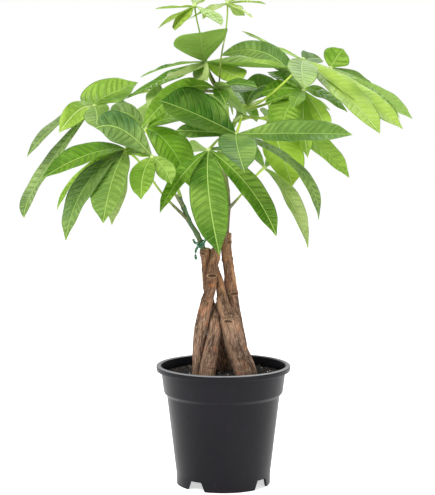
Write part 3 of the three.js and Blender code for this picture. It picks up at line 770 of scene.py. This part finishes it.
def green_stem_finish(name, low, high, low_z, high_z):
    """Smooth green skin, browner towards its foot, with fine lengthwise threads and pale specks."""
    material, board, shader = new_finish(name)
    place = board.place()
    height = board.split(place)[2]
    mottle = board.noise(place, 260.0, 3.0, 0.6)
    specks = board.rise(board.noise(place, 900.0, 2.0, 0.5), 0.62, 0.7)
    color = board.mix(board.rise(height + (mottle - 0.5) * 0.03, low_z, high_z), low, high)
    color = board.layered(color, (
        (board.rise(mottle, 0.45, 0.75) * 0.35, srgb(84, 116, 44)), (specks * 0.3, srgb(206, 216, 150))))
    coat(board, shader, color, 0.42 + 0.2 * mottle, mottle + specks, 0.4, 0.0003)
    return material


SHOOT_SKINS = {
    "shoot_left": green_stem_finish("left_shoot_skin", srgb(56, 72, 22), srgb(38, 76, 18), 0.232, 0.262),
    "shoot_main": green_stem_finish("main_shoot_skin", srgb(92, 68, 42), srgb(120, 148, 62), 0.262, 0.35),
}
for name, rows in SHOOTS.items():
    path = route(rows, STEM_STEP)
    for joint_z in JOINTS[name]:
        swell(path, joint_z, JOINT_SWELLING, JOINT_HALF_LENGTH)
    skin = SHOOT_SKINS[name]
    shoot = add_piece(name + "_skin", grow(path, SHOOT_RIDGES, skin), skin)
    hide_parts(name)

# Leaf stalks and leaflets
# Each palmate leaf grew as one piece: a long wiry stalk with three to nine drooping leaflets round
# its end. A leaflet is a thin blade, folded along a midrib that stands proud underneath, with paired
# side veins that curve to its wavy edge.
# Some greens stand in for light. 'sheen', 'grey', 'silver', 'slate' and 'dusk' are greyed greens of painted
# sheen, the sky mirrored on a leaflet. 'straw' is the green of the young crown leaflets, and on some
# leaflets lower down that lie in shade it is painted light.
GREENS = {
    "deep": srgb(56, 110, 11),
    "mid": srgb(94, 141, 15),
    "plain": srgb(80, 127, 12),
    "grass": srgb(113, 160, 30),
    "fresh": srgb(134, 174, 52),
    "bright": srgb(156, 194, 64),
    "soft": srgb(130, 162, 77),
    "lime": srgb(183, 214, 86),
    "young": srgb(160, 184, 72),
    "pale": srgb(155, 190, 85),
    "straw": srgb(190, 204, 136),
    "sheen": srgb(110, 149, 68),
    "grey": srgb(116, 146, 88),
    "silver": srgb(142, 160, 114),
    "dusk": srgb(84, 130, 50),
    "slate": srgb(88, 126, 78),
}
# Greens of young leaflets, which are still nearly flat between their veins.
SOFT_GREENS = ("lime", "young", "pale", "straw")
FOLD = 14
# For each leaf its hub, the way the whole leaf faces and the stalk's route from its foot. For each of its
# leaflets the tip from the hub, the rise and sway of the midrib's middle, the width, the roll and fold in
# degrees, and the name of its green. A row without roll and fold has no roll and the usual fold.
LEAVES = {
    "leaf_front_right": {
        "at": (12, -70, 350), "face": (0, -0.62, 0.78), "stalk": [(11, -1, 361), (17, -32, 366)],
        "leaflets": [(-71, 0, 31, 3, -2, 53, -1, 19, "deep"), (105, -40, 1, 1, 2, 34, "sheen"),
            (77, -8, -80, 8, 20, 24, -19, 0, "grey"), (6, -88, -30, 6, -3, 36, "dusk"),
            (-57, 10, 3, 1, -8, 14, -26, 9, "dusk")]},
    "leaf_front_centre": {
        "at": (-14, -82, 336), "face": (-0.05, -0.6, 0.8), "stalk": [(2, -1, 338), (-3, -40, 345)],
        "leaflets": [(10, -30, -95, 9, -5, 37, "plain"), (62, -40, -77, 5, 6, 26, "plain"),
            (-45, -22, -57, 4, -3, 18, "grass"), (37, 52, -12, 3, 1, 16, "mid")]},
    "leaf_left_inner": {
        "at": (-74, -48, 354), "face": (0.1, -0.55, 0.83), "stalk": [(-42, -26, 289), (-45, -42, 301),
            (-50, -64, 316), (-66, -66, 340)],
        "leaflets": [(46, -21, -57, 14, -1, 43, -8, 8, "grass"), (41, 26, 7, 6, 0, 20, "fresh"),
            (-34, -14, 14, 8, 0, 22, "silver"), (5, 38, 41, 8, 6, 18, -30, 20, "straw")]},
    "leaf_left_middle": {
        "at": (-66, -98, 330), "face": (-0.1, -0.6, 0.8), "stalk": [(-40, -22, 279), (-50, -56, 299),
            (-62, -90, 322)],
        "leaflets": [(-51, -13, 27, 12, -2, 31, -11, 6, "slate"), (-9, -30, -37, 4, -3, 24, "fresh"),
            (18, -14, -24, 3, 1, 20, "pale"), (-27, 6, 4, 3, 0, 17, "bright")]},
    "leaf_left_lower": {
        "at": (-91, -78, 336), "face": (-0.25, -0.5, 0.82), "stalk": [(-35, -16, 265), (-58, -40, 291),
            (-80, -70, 325)],
        "leaflets": [(-19, -44, -65, 6, -2, 38, "soft"), (-14, 0, -71, 8, -1, 28, -10, 7, "straw"),
            (-55, -25, -83, 8, -10, 39, 8, 5, "grey"), (-67, 16, -58, 7, -8, 14, "bright"),
            (-77, -23, -26, 9, 4, 29, -5, 16, "mid")]},
    "leaf_left_outer": {
        "at": (-124, -36, 375), "face": (-0.2, -0.45, 0.87), "stalk": [(-4.5, 2.2, 389), (-60, 6, 391),
            (-102, -16, 383)],
        "leaflets": [(-63, -14, -47, 8, -2, 18, "silver"), (-31, -28, -24, 9, 2, 21, -35, 2, "lime"),
            (41, 24, 23, -3, -12, 52, 3, 10, "fresh"), (-67, -9, -106, -15, -18, 19, -12, 16, "silver"),
            (7, -70, -18, 3, 2, 26, "soft"), (38, 14, -6, 7, 3, 12, "fresh")]},
    "leaf_centre_upper": {
        "at": (-8, -30, 392), "face": (0, -0.45, 0.9), "stalk": [(-4, -2, 391), (-7, -18, 391)],
        "leaflets": [(-69, -37, -36, 16, 2, 24, -17, 16, "fresh"), (39, -32, 2, 4, 1, 16, "dusk"),
            (31, -12, -26, 8, -7, 28, -60, 9, "plain"), (10, -38, -15, 3, 0, 14, "deep"),
            (42, 57, 0, -1, -1, 20, 7, 12, "deep"), (17, 14, -25, 4, 2, 20, "mid")]},
    "leaf_top": {
        "at": (-18, 0, 418), "face": (0, -0.1, 1), "stalk": [(-7, 0, 393), (-12, 0, 400), (-16, 0, 411)],
        "leaflets": [(-1, -54, 27, 7, -3, 54, 24, 4, "fresh"), (-64, 20, -15, 4, 0, 12, "dusk"),
            (-75, -33, -35, 4, 5, 24, -5, 1, "plain"), (-36, -100, -16, -2, 4, 20, 0, 19, "straw"),
            (82, -27, -6, -1, -7, 42, 2, 20, "bright"), (37, -30, -16, -3, 5, 27, 27, 4, "lime"),
            (3, -76, -18, 0, -4, 20, 37, 20, "straw")]},
    "leaf_crown_left": {
        "at": (-28, 0, 472), "face": (0, -0.1, 1), "stalk": [(-7, 3, 394), (-14, 10, 410), (-23, 6, 446),
            (-27, 1, 464)],
        "leaflets": [(-39, 16, -2, 0, 0, 10, "young"), (-35, -20, -22, 1, 0, 9, "young"),
            (-19, -17, -24, 0, -2, 20, 0, 1, "young"), (26, -37, -20, 2, 2, 17, 0, 2, "pale"),
            (7, 46, 7, 2, 0, 15, "young")]},
    "leaf_crown_right": {
        "at": (4, 14, 475), "face": (0, -0.1, 1), "stalk": [(-6, -3, 394), (-4, -26, 400), (-3, -32, 416),
            (-1, -18, 430), (2, 4, 445), (4, 12, 466)],
        "leaflets": [(38, 14, 0, 2, 0, 9, "young"), (24, -34, -15, 1, 0, 7, "straw"),
            (-24, -20, -16, 2, -1, 17, "straw"), (-37, 18, -14, 2, 1, 9, "young"),
            (17, 2, -12, 1, -1, 24, -23, 1, "straw"), (6, 44, 4, 2, 0, 12, "young")]},
    "leaf_right_outer": {
        "at": (77, -14, 420), "face": (0.2, -0.35, 0.9), "stalk": [(15, -1, 371), (34, -16, 378),
            (64, -36, 404)],
        "leaflets": [(-2, -70, -28, 4, -2, 30, "pale"), (69, -60, -69, 1, 4, 36, 8, FOLD, "lime"),
            (94, -28, -66, -1, 3, 40, 4, FOLD, "lime"), (-58, 60, 29, -1, 1, 7, "lime"),
            (20, 52, 2, 0, -2, 22, 18, FOLD, "dusk")]},
    "leaf_right_rear": {
        "at": (107, 34, 412), "face": (0.1, -0.1, 1), "stalk": [(15, 2, 369), (45, 14, 378), (88, 30, 404)],
        "leaflets": [(13, 7, 19, 0, -1, 28, 25, 5, "grass"), (86, 36, -51, -2, 0, 32, -26, 19, "plain"),
            (67, -26, -49, 4, 4, 12, "mid"), (47, 66, -31, 7, 2, 26, "mid")]},
    "leaf_right_middle": {
        "at": (77, -30, 390), "face": (0.05, -0.5, 0.85), "stalk": [(15, -2, 366), (38, -18, 364),
            (64, -27, 378)],
        "leaflets": [(-38, -14, -12, 1, -1, 13, "grass"), (-21, -34, -41, 3, -6, 34, "fresh"),
            (20, -30, -38, -3, 4, 18, 17, FOLD, "lime"), (3, -18, -63, 2, -2, 18, "lime"),
            (42, 0, -20, 8, -4, 20, -3, 2, "bright"), (-12, -48, -15, 1, -1, 16, "grass"),
            (-80, 71, 34, 19, 5, 22, -38, 12, "grey"), (-34, 30, 18, 2, 0, 16, "grass"),
            (-42, 26, -3, 4, 0, 20, -35, 8, "grass")]},
    "leaf_right_inner": {
        "at": (43, -14, 362), "face": (0.15, -0.5, 0.85), "stalk": [(12, 0, 360), (28, -6, 364)],
        "leaflets": [(22, -40, -62, 1, 1, 42, "lime"), (78, -19, -55, 8, 3, 33, 2, 10, "pale"),
            (8, 50, 4, 4, -1, 22, "mid")]},
    "leaf_right_lower": {
        "at": (39, -42, 317), "face": (0.1, -0.55, 0.83), "stalk": [(6, 3, 275), (17, -18, 289),
            (33, -37, 311)],
        "leaflets": [(42, -6, -77, 7, 4, 23, -4, 20, "straw"), (-25, 56, 25, 3, 0, 16, "pale"),
            (33, 62, 14, 4, 0, 20, "fresh")]},
    "leaf_centre_rear": {
        "at": (23, 30, 374), "face": (0, -0.2, 1), "stalk": [(13, 2, 373), (18, 16, 376)],
        "leaflets": [(37, 38, 20, 8, -7, 27, 28, 18, "deep"), (28, -26, 19, 2, -1, 12, "mid"),
            (-20, 70, 21, 5, 0, 30, "deep"), (-34, 14, -14, 7, -1, 26, "mid"),
            (10, -12, -15, 2, 0, 14, "lime")]},
    "leaf_rear_left": {
        "at": (-45, 85, 378), "face": (-0.2, 0.4, 0.9), "stalk": [(1, 2, 335), (-12, 40, 362),
            (-36, 76, 376)],
        "leaflets": [(-60, 50, -40, 8, 0, 30, "mid"), (-50, 76, -44, 12, 0, 36, "mid"),
            (32, 74, -32, 10, 0, 34, "fresh"), (-30, -44, -6, 6, 0, 22, "mid"),
            (52, 40, -18, 8, 0, 28, "mid")]},
    "leaf_rear_right": {
        "at": (58, 88, 378), "face": (0.2, 0.4, 0.9), "stalk": [(9, 2, 356), (28, 44, 376), (50, 80, 380)],
        "leaflets": [(50, 56, -24, 12, 0, 30, "mid"), (48, 70, -46, 12, 0, 34, "mid"),
            (6, 76, -34, 10, 0, 32, "fresh"), (50, -34, -8, 6, 0, 22, "fresh"),
            (-46, 30, 4, 8, 0, 26, "mid")]},
    "leaf_rear_lower": {
        "at": (-4, 80, 318), "face": (0, 0.5, 0.85), "stalk": [(4, 4, 292), (0, 40, 308), (-3, 68, 316)],
        "leaflets": [(-14, 70, -62, 10, 0, 30, "mid"), (-2, 52, -20, 8, 0, 22, "fresh"),
            (22, 60, 6, 8, 0, 26, "mid"), (-34, 56, 4, 8, 0, 26, "grass")]},
}
STALK_RADIUS = 1.1
CROWN_STALK_RADIUS = 0.75
STALK_FOOT_RADIUS = 1.8
STALK_STEP = 2.0
STALK_RIDGES = {"sides": 14, "depth": 0.06 * MM, "width": 0.8 * MM, "length": 14 * MM}
HUB_SWELLING = 1.3
HUB_RADIUS = 2.3
KNOB_SUBDIVISIONS = 3
LEAF_TAPER = 0.8
LEAF_WIDEST = 1 / (1 + LEAF_TAPER)
STALK_HALF_WIDTH = 1.0
TIP_HALF_WIDTH = 0.25
TIP_FROM = 0.84
TIP_LENGTH = 0.16
TIP_NARROWING = 0.4
FOLD_SOFTNESS = 0.12
RIPPLE = 1.1
RIPPLE_RATE = 9
EDGE_WAVE = 0.36
EDGE_WAVE_LENGTH = 27
# How far the waves are shifted from one leaflet to the next, and from one side of it to the other.
RIPPLE_SHIFT = 2
WAVE_SHIFT = 1.7
WAVE_SIDE_SHIFT = 1.9
BLADE_THICKNESS = 0.62
EDGE_THICKNESS = 0.3
FOOT_THICKENING = 0.9
FOOT_LENGTH = 0.07
RIB_DEPTH = 0.95
RIB_HALF_WIDTH = 0.75
RIB_FADE = 0.75
CHANNEL_DEPTH = 0.3
CHANNEL_HALF_WIDTH = 0.7
CHANNEL_ONSET = 12
VEIN_SPACING = 6.6
VEIN_SWEEP = 0.32
VEIN_CURL = 0.016
VEIN_DRIFT = 1.3
VEIN_DRIFT_LENGTH = 5.2
VEIN_STAGGER = 0.4
CREASE_DEPTH = 0.38
SOFT_CREASE = 0.3
CREASE_HALF_WIDTH = 1.1
CREASE_FROM_RIB = 2.5
CREASE_EDGE_FADE = 5
BLADE_ROWS = 96
HALF_COLUMNS = 9
COLUMN_CROWDING = 1.3


def leaf_outline(t):
    """How wide a leaflet is at each share of its length, on a scale of its own."""
    return t * (1 - t) ** LEAF_TAPER


def vein_phase(across, along):
    """Counts the side veins: whole numbers lie midway between two of them."""
    edge = np.abs(across)
    start = along - VEIN_SWEEP * edge - VEIN_CURL * edge ** 2
    drift = VEIN_DRIFT * np.sin(start / VEIN_DRIFT_LENGTH)
    return (start + drift) / VEIN_SPACING + VEIN_STAGGER * (across < 0)


def blade_grid(hub, face, row, number):
    """The middle surface of one leaflet as a grid of points, with what its pattern follows: how far
    across and along each point lies, half the width there, and its shares across and along."""
    x, y, z, rise, sway, width, *turns, tint = row
    roll, fold = [math.radians(degrees) for degrees in turns or (0, FOLD)]
    hub = np.array(hub, float)
    tip = hub + (x, y, z)
    bend = (hub + tip) / 2 + (2 * sway, 0, 2 * rise)
    t = np.linspace(0, 1, BLADE_ROWS + 1)[:, None]
    centre = (1 - t) ** 2 * hub + 2 * t * (1 - t) * bend + t ** 2 * tip
    tangent = 2 * (1 - t) * (bend - hub) + 2 * t * (tip - bend)
    tangent /= np.linalg.norm(tangent, axis=1, keepdims=True)
    ways = [Vector(way) for way in tangent]
    up = Vector(face).normalized()
    up = (up - ways[0] * up.dot(ways[0])).normalized()
    up = up * math.cos(roll) + ways[0].cross(up) * math.sin(roll)
    ups = [up]
    for before, after in zip(ways, ways[1:]):
        up = before.rotation_difference(after).to_matrix() @ up
        up = (up - after * up.dot(after)).normalized()
        ups.append(up)
    ups = np.array(ups)
    side = np.cross(tangent, ups)
    share = leaf_outline(t) / leaf_outline(LEAF_WIDEST)
    near_tip = np.clip((t - TIP_FROM) / TIP_LENGTH, 0, 1)
    drip = 1 - TIP_NARROWING * near_tip ** 2 * (3 - 2 * near_tip)
    half = np.maximum(STALK_HALF_WIDTH + (TIP_HALF_WIDTH - STALK_HALF_WIDTH) * t, width / 2 * share * drip)
    k = np.linspace(-1, 1, 2 * HALF_COLUMNS + 1)[None, :]
    s = np.sign(k) * np.abs(k) ** COLUMN_CROWDING
    across = s * half
    length = np.concatenate([[0], np.cumsum(np.linalg.norm(np.diff(centre, axis=0), axis=1))])[:, None]
    lift = half * (np.sqrt(s ** 2 + FOLD_SOFTNESS ** 2) - FOLD_SOFTNESS) * math.sin(fold)
    lift = lift + s * RIPPLE * share * np.sin(RIPPLE_RATE * t + RIPPLE_SHIFT * number)
    shift = WAVE_SHIFT * number + WAVE_SIDE_SHIFT * (s > 0)
    wave = np.sin(2 * math.pi * length / EDGE_WAVE_LENGTH + shift)
    lift = lift + EDGE_WAVE * share * np.abs(s) ** 2.5 * wave
    inner = np.clip((1 - np.abs(s)) * CREASE_EDGE_FADE, 0, 1)
    body = np.clip(np.abs(across) / CREASE_FROM_RIB, 0, 1) * inner * share
    phase = vein_phase(across, length)
    from_vein = np.abs(phase - np.floor(phase) - 0.5) * VEIN_SPACING
    crease = CREASE_DEPTH * (SOFT_CREASE if tint in SOFT_GREENS else 1)
    lift = lift - crease * body * np.exp(-(from_vein / CREASE_HALF_WIDTH) ** 2)
    points = centre[:, None, :] + side[:, None, :] * (across * math.cos(fold))[:, :, None]
    points = points + ups[:, None, :] * lift[:, :, None]
    return points, across, length, half, s, t


def blade_mesh(hub, face, row, number):
    """One closed blade: its corners, its faces, and for each corner where it lies on the blade."""
    points, across, along, half, s, t = blade_grid(hub, face, row, number)
    rows, columns = across.shape
    step_along = np.gradient(points, axis=0)
    step_across = np.gradient(points, axis=1)
    normal = np.cross(step_across, step_along)
    normal = normal / np.maximum(np.linalg.norm(normal, axis=2, keepdims=True), 1e-9)
    thick = EDGE_THICKNESS + (BLADE_THICKNESS - EDGE_THICKNESS) * (1 - np.abs(s) ** 4)
    thick = thick + FOOT_THICKENING * np.clip(1 - t / FOOT_LENGTH, 0, 1)
    begun = np.clip(t * CHANNEL_ONSET, 0, 1)
    channel = CHANNEL_DEPTH * np.exp(-(across / CHANNEL_HALF_WIDTH) ** 2) * begun
    rib = RIB_DEPTH * (1 - RIB_FADE * t) * np.exp(-(across / RIB_HALF_WIDTH) ** 2)
    top = points + normal * (thick / 2 - channel)[:, :, None]
    bottom = points - normal * (thick / 2 + rib)[:, :, None]
    corners = np.concatenate([top.reshape(-1, 3), bottom.reshape(-1, 3)])
    count = rows * columns
    index = np.arange(count).reshape(rows, columns)
    quads = np.stack([index[:-1, :-1], index[:-1, 1:], index[1:, 1:], index[1:, :-1]], -1).reshape(-1, 4)
    faces = [quads, quads[:, ::-1] + count]
    for edge, flip in ((index[:, 0], False), (index[:, -1], True), (index[0], True), (index[-1], False)):
        wall = np.stack([edge[:-1], edge[1:], edge[1:] + count, edge[:-1] + count], -1)
        faces.append(wall[:, ::-1] if flip else wall)
    place = np.stack(np.broadcast_arrays(across, along, half), -1).reshape(-1, 3)
    return corners, np.concatenate(faces).tolist(), np.concatenate([place, place])


def knob_mesh(centre, radius):
    """A small round lump, such as the one where leaflets meet on a stalk: its corners and its faces."""
    ball = bmesh.new()
    bmesh.ops.create_icosphere(ball, subdivisions=KNOB_SUBDIVISIONS, radius=radius)
    corners = np.array([vert.co[:] for vert in ball.verts]) + centre
    faces = [[vert.index for vert in face.verts] for face in ball.faces]
    ball.free()
    return corners, faces


def joined_mesh(name, parts):
    """One mesh of several parts, each given by its corners, in metres, and its faces."""
    corners = []
    faces = []
    for part_corners, part_faces in parts:
        faces.extend([len(corners) + corner for corner in face] for face in part_faces)
        corners.extend(np.asarray(part_corners).tolist())
    return plain_mesh(name, corners, faces)


def leaf_mesh(leaf):
    """All leaflets of one leaf and the knob they stand on, with the marks that its material reads."""
    knob, triangles = knob_mesh(leaf["at"], HUB_RADIUS)
    parts = []
    marks = {"blade": [], "under": [], "tint": []}
    for number, row in enumerate(leaf["leaflets"]):
        blade, quads, place = blade_mesh(leaf["at"], leaf["face"], row, number)
        parts.append((blade * MM, quads))
        marks["blade"].append(place)
        marks["under"].append(np.repeat([0.0, 1.0], len(blade) // 2))
        marks["tint"].append(np.tile(GREENS[row[-1]], (len(blade), 1)))
    parts.append((knob * MM, triangles))
    marks["blade"].append(np.zeros((len(knob), 3)))
    marks["under"].append(np.zeros(len(knob)))
    marks["tint"].append(np.tile(GREENS["lime"], (len(knob), 1)))
    mesh = joined_mesh("leaf", parts)
    mesh.validate()
    for mark, kind, field in (("blade", "FLOAT_VECTOR", "vector"), ("under", "FLOAT", "value"),
                              ("tint", "FLOAT_COLOR", "color")):
        values = np.concatenate(marks[mark]).ravel()
        mesh.attributes.new(mark, kind, "POINT").data.foreach_set(field, values)
    mesh.shade_smooth()
    return mesh


def leaf_finish(name, glow):
    """Living leaf: glossy and darker above, dull and paler beneath, thin enough for light to pass. Its
    upper face carries painted shade and painted sheen.
    """
    material, board, shader = new_finish(name)
    across, along, half = board.split(board.mark("blade", "Vector"))
    under = board.mark("under")
    tint = board.mark("tint", "Color")
    place = board.place()
    edge = board.math("ABSOLUTE", across)
    left = board.math("LESS_THAN", across, 0.0)
    start = along - edge * VEIN_SWEEP - edge * edge * VEIN_CURL
    drift = board.math("SINE", start / VEIN_DRIFT_LENGTH) * VEIN_DRIFT
    phase = (start + drift) / VEIN_SPACING + left * VEIN_STAGGER
    from_vein = board.math("ABSOLUTE", board.math("FRACT", phase) - 0.5) * VEIN_SPACING
    blade_part = board.rise(edge, 0.6, 2.5)
    vein = board.fall(from_vein, 0.1, 0.45) * blade_part
    out_to_edge = edge / (half + 0.01)
    furrow = board.fall(from_vein, 0.2, 1.6) * blade_part * board.fall(out_to_edge, 0.75, 0.98)
    midrib = board.fall(edge, 0.25, 0.75)
    # A thin band each side of the midrib, darkened: painted shade of the groove the midrib lies in.
    rib_side_shade = board.rise(edge, 0.55, 0.9) * board.fall(edge, 0.9, 2.4)
    # A dark line along the edge of each leaflet: painted shade.
    margin_shade = board.rise(out_to_edge, 0.92, 1.0)
    clouds = board.noise(place, 38.0, 3.0, 0.55)
    patches = board.noise(place, 21.0, 1.0, 0.5)
    mottle = board.noise(place, 420.0, 3.0, 0.6)
    streaks = board.noise(board.joined(phase * 2.3, across * 0.14, half * 0.7), 1.0, 4.0, 0.6)
    cells = board.out("ShaderNodeTexVoronoi", {"feature": "DISTANCE_TO_EDGE"},
                      {"Vector": place, "Scale": 620.0})
    net = board.fall(cells, 0.02, 0.12)
    darker = board.mix(1.0, tint, (0.4, 0.5, 0.28, 1), "MULTIPLY")
    lighter = board.mix(0.5, tint, srgb(192, 222, 104))
    firm = 1 - 0.75 * board.rise(board.split(tint)[0], 0.3, 0.44)
    color = board.layered(board.mix(board.rise(clouds, 0.34, 0.62), darker, tint), (
        (board.rise(patches, 0.5, 0.68) * 0.7, lighter),
        (board.fall(patches, 0.3, 0.47) * 0.55, darker),
        # One half of each leaflet is lighter: painted sheen.
        (left * 0.22, lighter),
        # Streaks between the veins: painted sheen where they are lighter, painted shade where they are
        # darker.
        (board.rise(streaks, 0.52, 0.66) * (0.1 + 0.22 * firm), lighter),
        (board.fall(streaks, 0.34, 0.48) * (0.1 + 0.3 * firm), darker),
        (board.fall(mottle, 0.34, 0.48) * 0.2, darker),
        # Darker in the creases along the side veins: painted shade.
        (furrow * (0.12 + 0.58 * firm), darker),
        (rib_side_shade * 0.4, darker),
        (vein * (0.16 + 0.36 * firm) + net * 0.05, lighter),
        (midrib * 0.85, board.mix(firm, srgb(220, 236, 158), srgb(180, 210, 108))),
        (margin_shade * 0.8, darker)))
    beneath = board.layered(board.mix(0.75, tint, srgb(188, 220, 118)), (
        (board.rise(clouds, 0.35, 0.7) * 0.3, darker),
        (vein * 0.4 + midrib * 0.8, srgb(196, 212, 140))))
    roughness = 0.3 + 0.2 * clouds + 0.1 * mottle + 0.2 * under
    relief = mottle * 0.35 + net * 0.1 + streaks - furrow * firm - midrib * 0.4
    coat(board, shader, board.mix(under, color, beneath), roughness, relief, 1.0, 0.0008)
    shader.inputs["Specular IOR Level"].default_value = 0.25
    shine_through = board.out("ShaderNodeBsdfTranslucent", None, {"Color": glow})
    surface = board.out("ShaderNodeMixShader", None,
                        {0: 0.28 + 0.16 * under, 1: Wire(board, shader.outputs[0]), 2: shine_through})
    board.feed(material.node_tree.nodes["Material Output"].inputs["Surface"], surface)
    return material


# The light that comes through a leaf, by the green of its first leaflet, and through all others.
GLOWS = {"young": srgb(200, 222, 80), "lime": srgb(200, 226, 84), "fresh": srgb(160, 202, 50),
         "grass": srgb(156, 200, 44), "bright": srgb(176, 212, 60)}
USUAL_GLOW = srgb(136, 180, 36)


def stalk_finish(name, foot, top):
    """Leaf stalk, darker where it leaves the shoot and yellower under the leaf."""
    material, board, shader = new_finish(name)
    mottle = board.noise(board.place(), 300.0, 3.0, 0.6)
    color = board.mix(board.rise(board.mark("share") + (mottle - 0.5) * 0.2, 0.1, 0.75), foot, top)
    color = board.mix(board.rise(mottle, 0.5, 0.75) * 0.3, color, srgb(196, 206, 110))
    coat(board, shader, color, 0.45 + 0.15 * mottle, mottle, 0.4, 0.0002)
    return material


STALK_SKINS = {
    "dark": stalk_finish("dark_stalk_skin", srgb(74, 80, 34), srgb(160, 188, 62)),
    "bright": stalk_finish("bright_stalk_skin", srgb(128, 156, 48), srgb(172, 198, 68)),
}
BRIGHT_STALKS = ("leaf_right_outer", "leaf_right_rear", "leaf_right_middle", "leaf_right_inner",
                 "leaf_centre_rear", "leaf_centre_upper", "leaf_front_right", "leaf_left_inner")
for name, leaf in LEAVES.items():
    finish = leaf_finish(name + "_green", GLOWS.get(leaf["leaflets"][0][-1], USUAL_GLOW))
    blades = add_piece(name + "_blades", leaf_mesh(leaf), finish)
    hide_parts(name)
    radius = CROWN_STALK_RADIUS if "crown" in name else STALK_RADIUS
    rows = [(*point, radius) for point in leaf["stalk"]]
    rows[0] = (*leaf["stalk"][0], STALK_FOOT_RADIUS)
    rows.append((*leaf["at"], radius * HUB_SWELLING))
    skin = STALK_SKINS["bright" if name in BRIGHT_STALKS else "dark"]
    stalk = add_piece(name + "_stalk", grow(route(rows, STALK_STEP), STALK_RIDGES, skin), skin)
    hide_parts(name)

# Tie
# A narrow ribbon of green film, wound twice round the foot of the left shoot and knotted at the
# front, with three cut ends standing off the knot.
TIE_AT = (-21.8, -4.7, 240)
TIE_AXIS = (-0.34, -0.29, 0.9)
TIE_TURNS = 2.2
TIE_INNER_RADIUS = 3.05
TIE_CLIMB = 1.5
TIE_WEAVE = 0.73
TIE_STEPS = 96
TIE_END_STEP = 0.7
TIE_SHARP_DEG = 40
# What each turn of the tie adds to its radius, as a share of the ribbon's thickness.
LAP_THICKENING = 0.9
RIBBON_WIDTH = 2.6
RIBBON_THICKNESS = 0.35
RIBBON_CRUMPLE = 0.35
RIBBON_SECTION_POINTS = 16
CRUMPLE_WAY = (1.0, -1.0, 0.6)
WINDING_START_DEG = 205
KNOT_DEG = 245
KNOT_STAND = 1.4
KNOT_LIFT = 0.4
KNOT_SIZE = (1.9, 1.5, 1.6)
# Each cut end from the knot on, as offsets from it.
TIE_ENDS = [
    [(0, 0, 0), (-1.6, -1.4, -1.2), (-3.4, -1.8, -5), (-3.8, -1.2, -9), (-3.0, -1.4, -13.5)],
    [(0, 0, 0), (1.4, -1.6, 1.6), (4.4, -2.2, 3.4), (6.6, -1.6, 7.4), (6.2, -1.0, 10.5)],
    [(0, 0, 0), (-1.8, -0.6, 1.8), (-4.4, -0.6, 3.4), (-6.0, -0.2, 6.6)],
]


def ribbon_tree():
    """A flat ribbon swept along a curve with its width up and down, its surface a little crumpled."""
    tree, ids, grid, given = new_tree("swept_ribbon", (
        ("path", "Path", "Geometry", None), ("width", "Width", "Float", 0.003),
        ("thickness", "Thickness", "Float", 0.0003), ("crumple", "Crumple", "Float", 0.0003),
        ("material", "Material", "Material", None)), "Ribbon")
    path, width, thickness, crumple, material = given
    path = grid.out("GeometryNodeSetCurveNormal", {"mode": "Z_UP"}, {"Curve": path})
    section = grid.out("GeometryNodeCurvePrimitiveQuadrilateral", None,
                       {"Width": thickness, "Height": width})
    section = grid.out("GeometryNodeResampleCurve", None,
                       {"Curve": section, "Count": RIBBON_SECTION_POINTS})
    ribbon = grid.out("GeometryNodeCurveToMesh", None,
                      {"Curve": path, "Profile Curve": section, "Fill Caps": True})
    bumps = grid.noise(grid.out("GeometryNodeInputPosition"), 420.0, 2.0) - 0.5
    push = grid.scaled(CRUMPLE_WAY, bumps * crumple * 2)
    ribbon = grid.out("GeometryNodeSetPosition", None, {"Geometry": ribbon, "Offset": push})
    close_tree(grid, ribbon, material)
    return tree, ids


tie_film, board, shader = new_finish("tie_film")
creases = board.noise(board.place(), 700.0, 3.0, 0.6)
film = board.mix(board.rise(creases, 0.35, 0.6), srgb(8, 48, 28), srgb(36, 104, 66))
film = board.mix(board.rise(creases, 0.56, 0.68) * 0.8, film, srgb(184, 224, 196))
coat(board, shader, film, 0.24 + 0.2 * creases, creases, 0.6, 0.0004)

ribbon_maker, ribbon_ids = ribbon_tree()
tie_centre = np.array(TIE_AT, float)
tie_up = Vector(TIE_AXIS).normalized()
tie_right = Vector((1, 0, 0)) - tie_up * tie_up.x
tie_right.normalize()
tie_back = tie_up.cross(tie_right)


def round_shoot(degrees, radius, height):
    """A point on the tie's winding, at an angle from +X round the shoot."""
    angle = math.radians(degrees)
    out = tie_right * math.cos(angle) + tie_back * math.sin(angle)
    return tie_centre + np.array(out * radius + tie_up * height)


winding = []
for k in range(TIE_STEPS + 1):
    share = k / TIE_STEPS
    laps = LAP_THICKENING * RIBBON_THICKNESS * TIE_TURNS * share
    radius = TIE_INNER_RADIUS + laps + RIBBON_THICKNESS / 2
    height = TIE_CLIMB * math.sin(2 * math.pi * TIE_TURNS * share * TIE_WEAVE)
    winding.append((*round_shoot(WINDING_START_DEG + 360 * TIE_TURNS * share, radius, height), 1.0))
knot = round_shoot(KNOT_DEG, TIE_INNER_RADIUS + KNOT_STAND, KNOT_LIFT)
strips = [winding]
for end in TIE_ENDS:
    strips.append(route([(*(knot + np.array(point)), 1.0) for point in end], TIE_END_STEP))
values = {"width": RIBBON_WIDTH * MM, "thickness": RIBBON_THICKNESS * MM,
          "crumple": RIBBON_CRUMPLE * MM, "material": tie_film}
parts = []
for strip in strips:
    line = stem_curve(strip)
    made = through(ribbon_maker, ribbon_ids, line, values)
    bpy.data.objects.remove(line)
    parts.append(([vert.co[:] for vert in made.vertices], [face.vertices for face in made.polygons]))
ball, triangles = knob_mesh((0, 0, 0), 1.0)
parts.append(((knot + ball * KNOT_SIZE) * MM, triangles))
tie_mesh = joined_mesh("ribbon", parts)
smooth(tie_mesh, TIE_SHARP_DEG)
ribbon = add_piece("tie_ribbon", tie_mesh, tie_film)
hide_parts("tie")
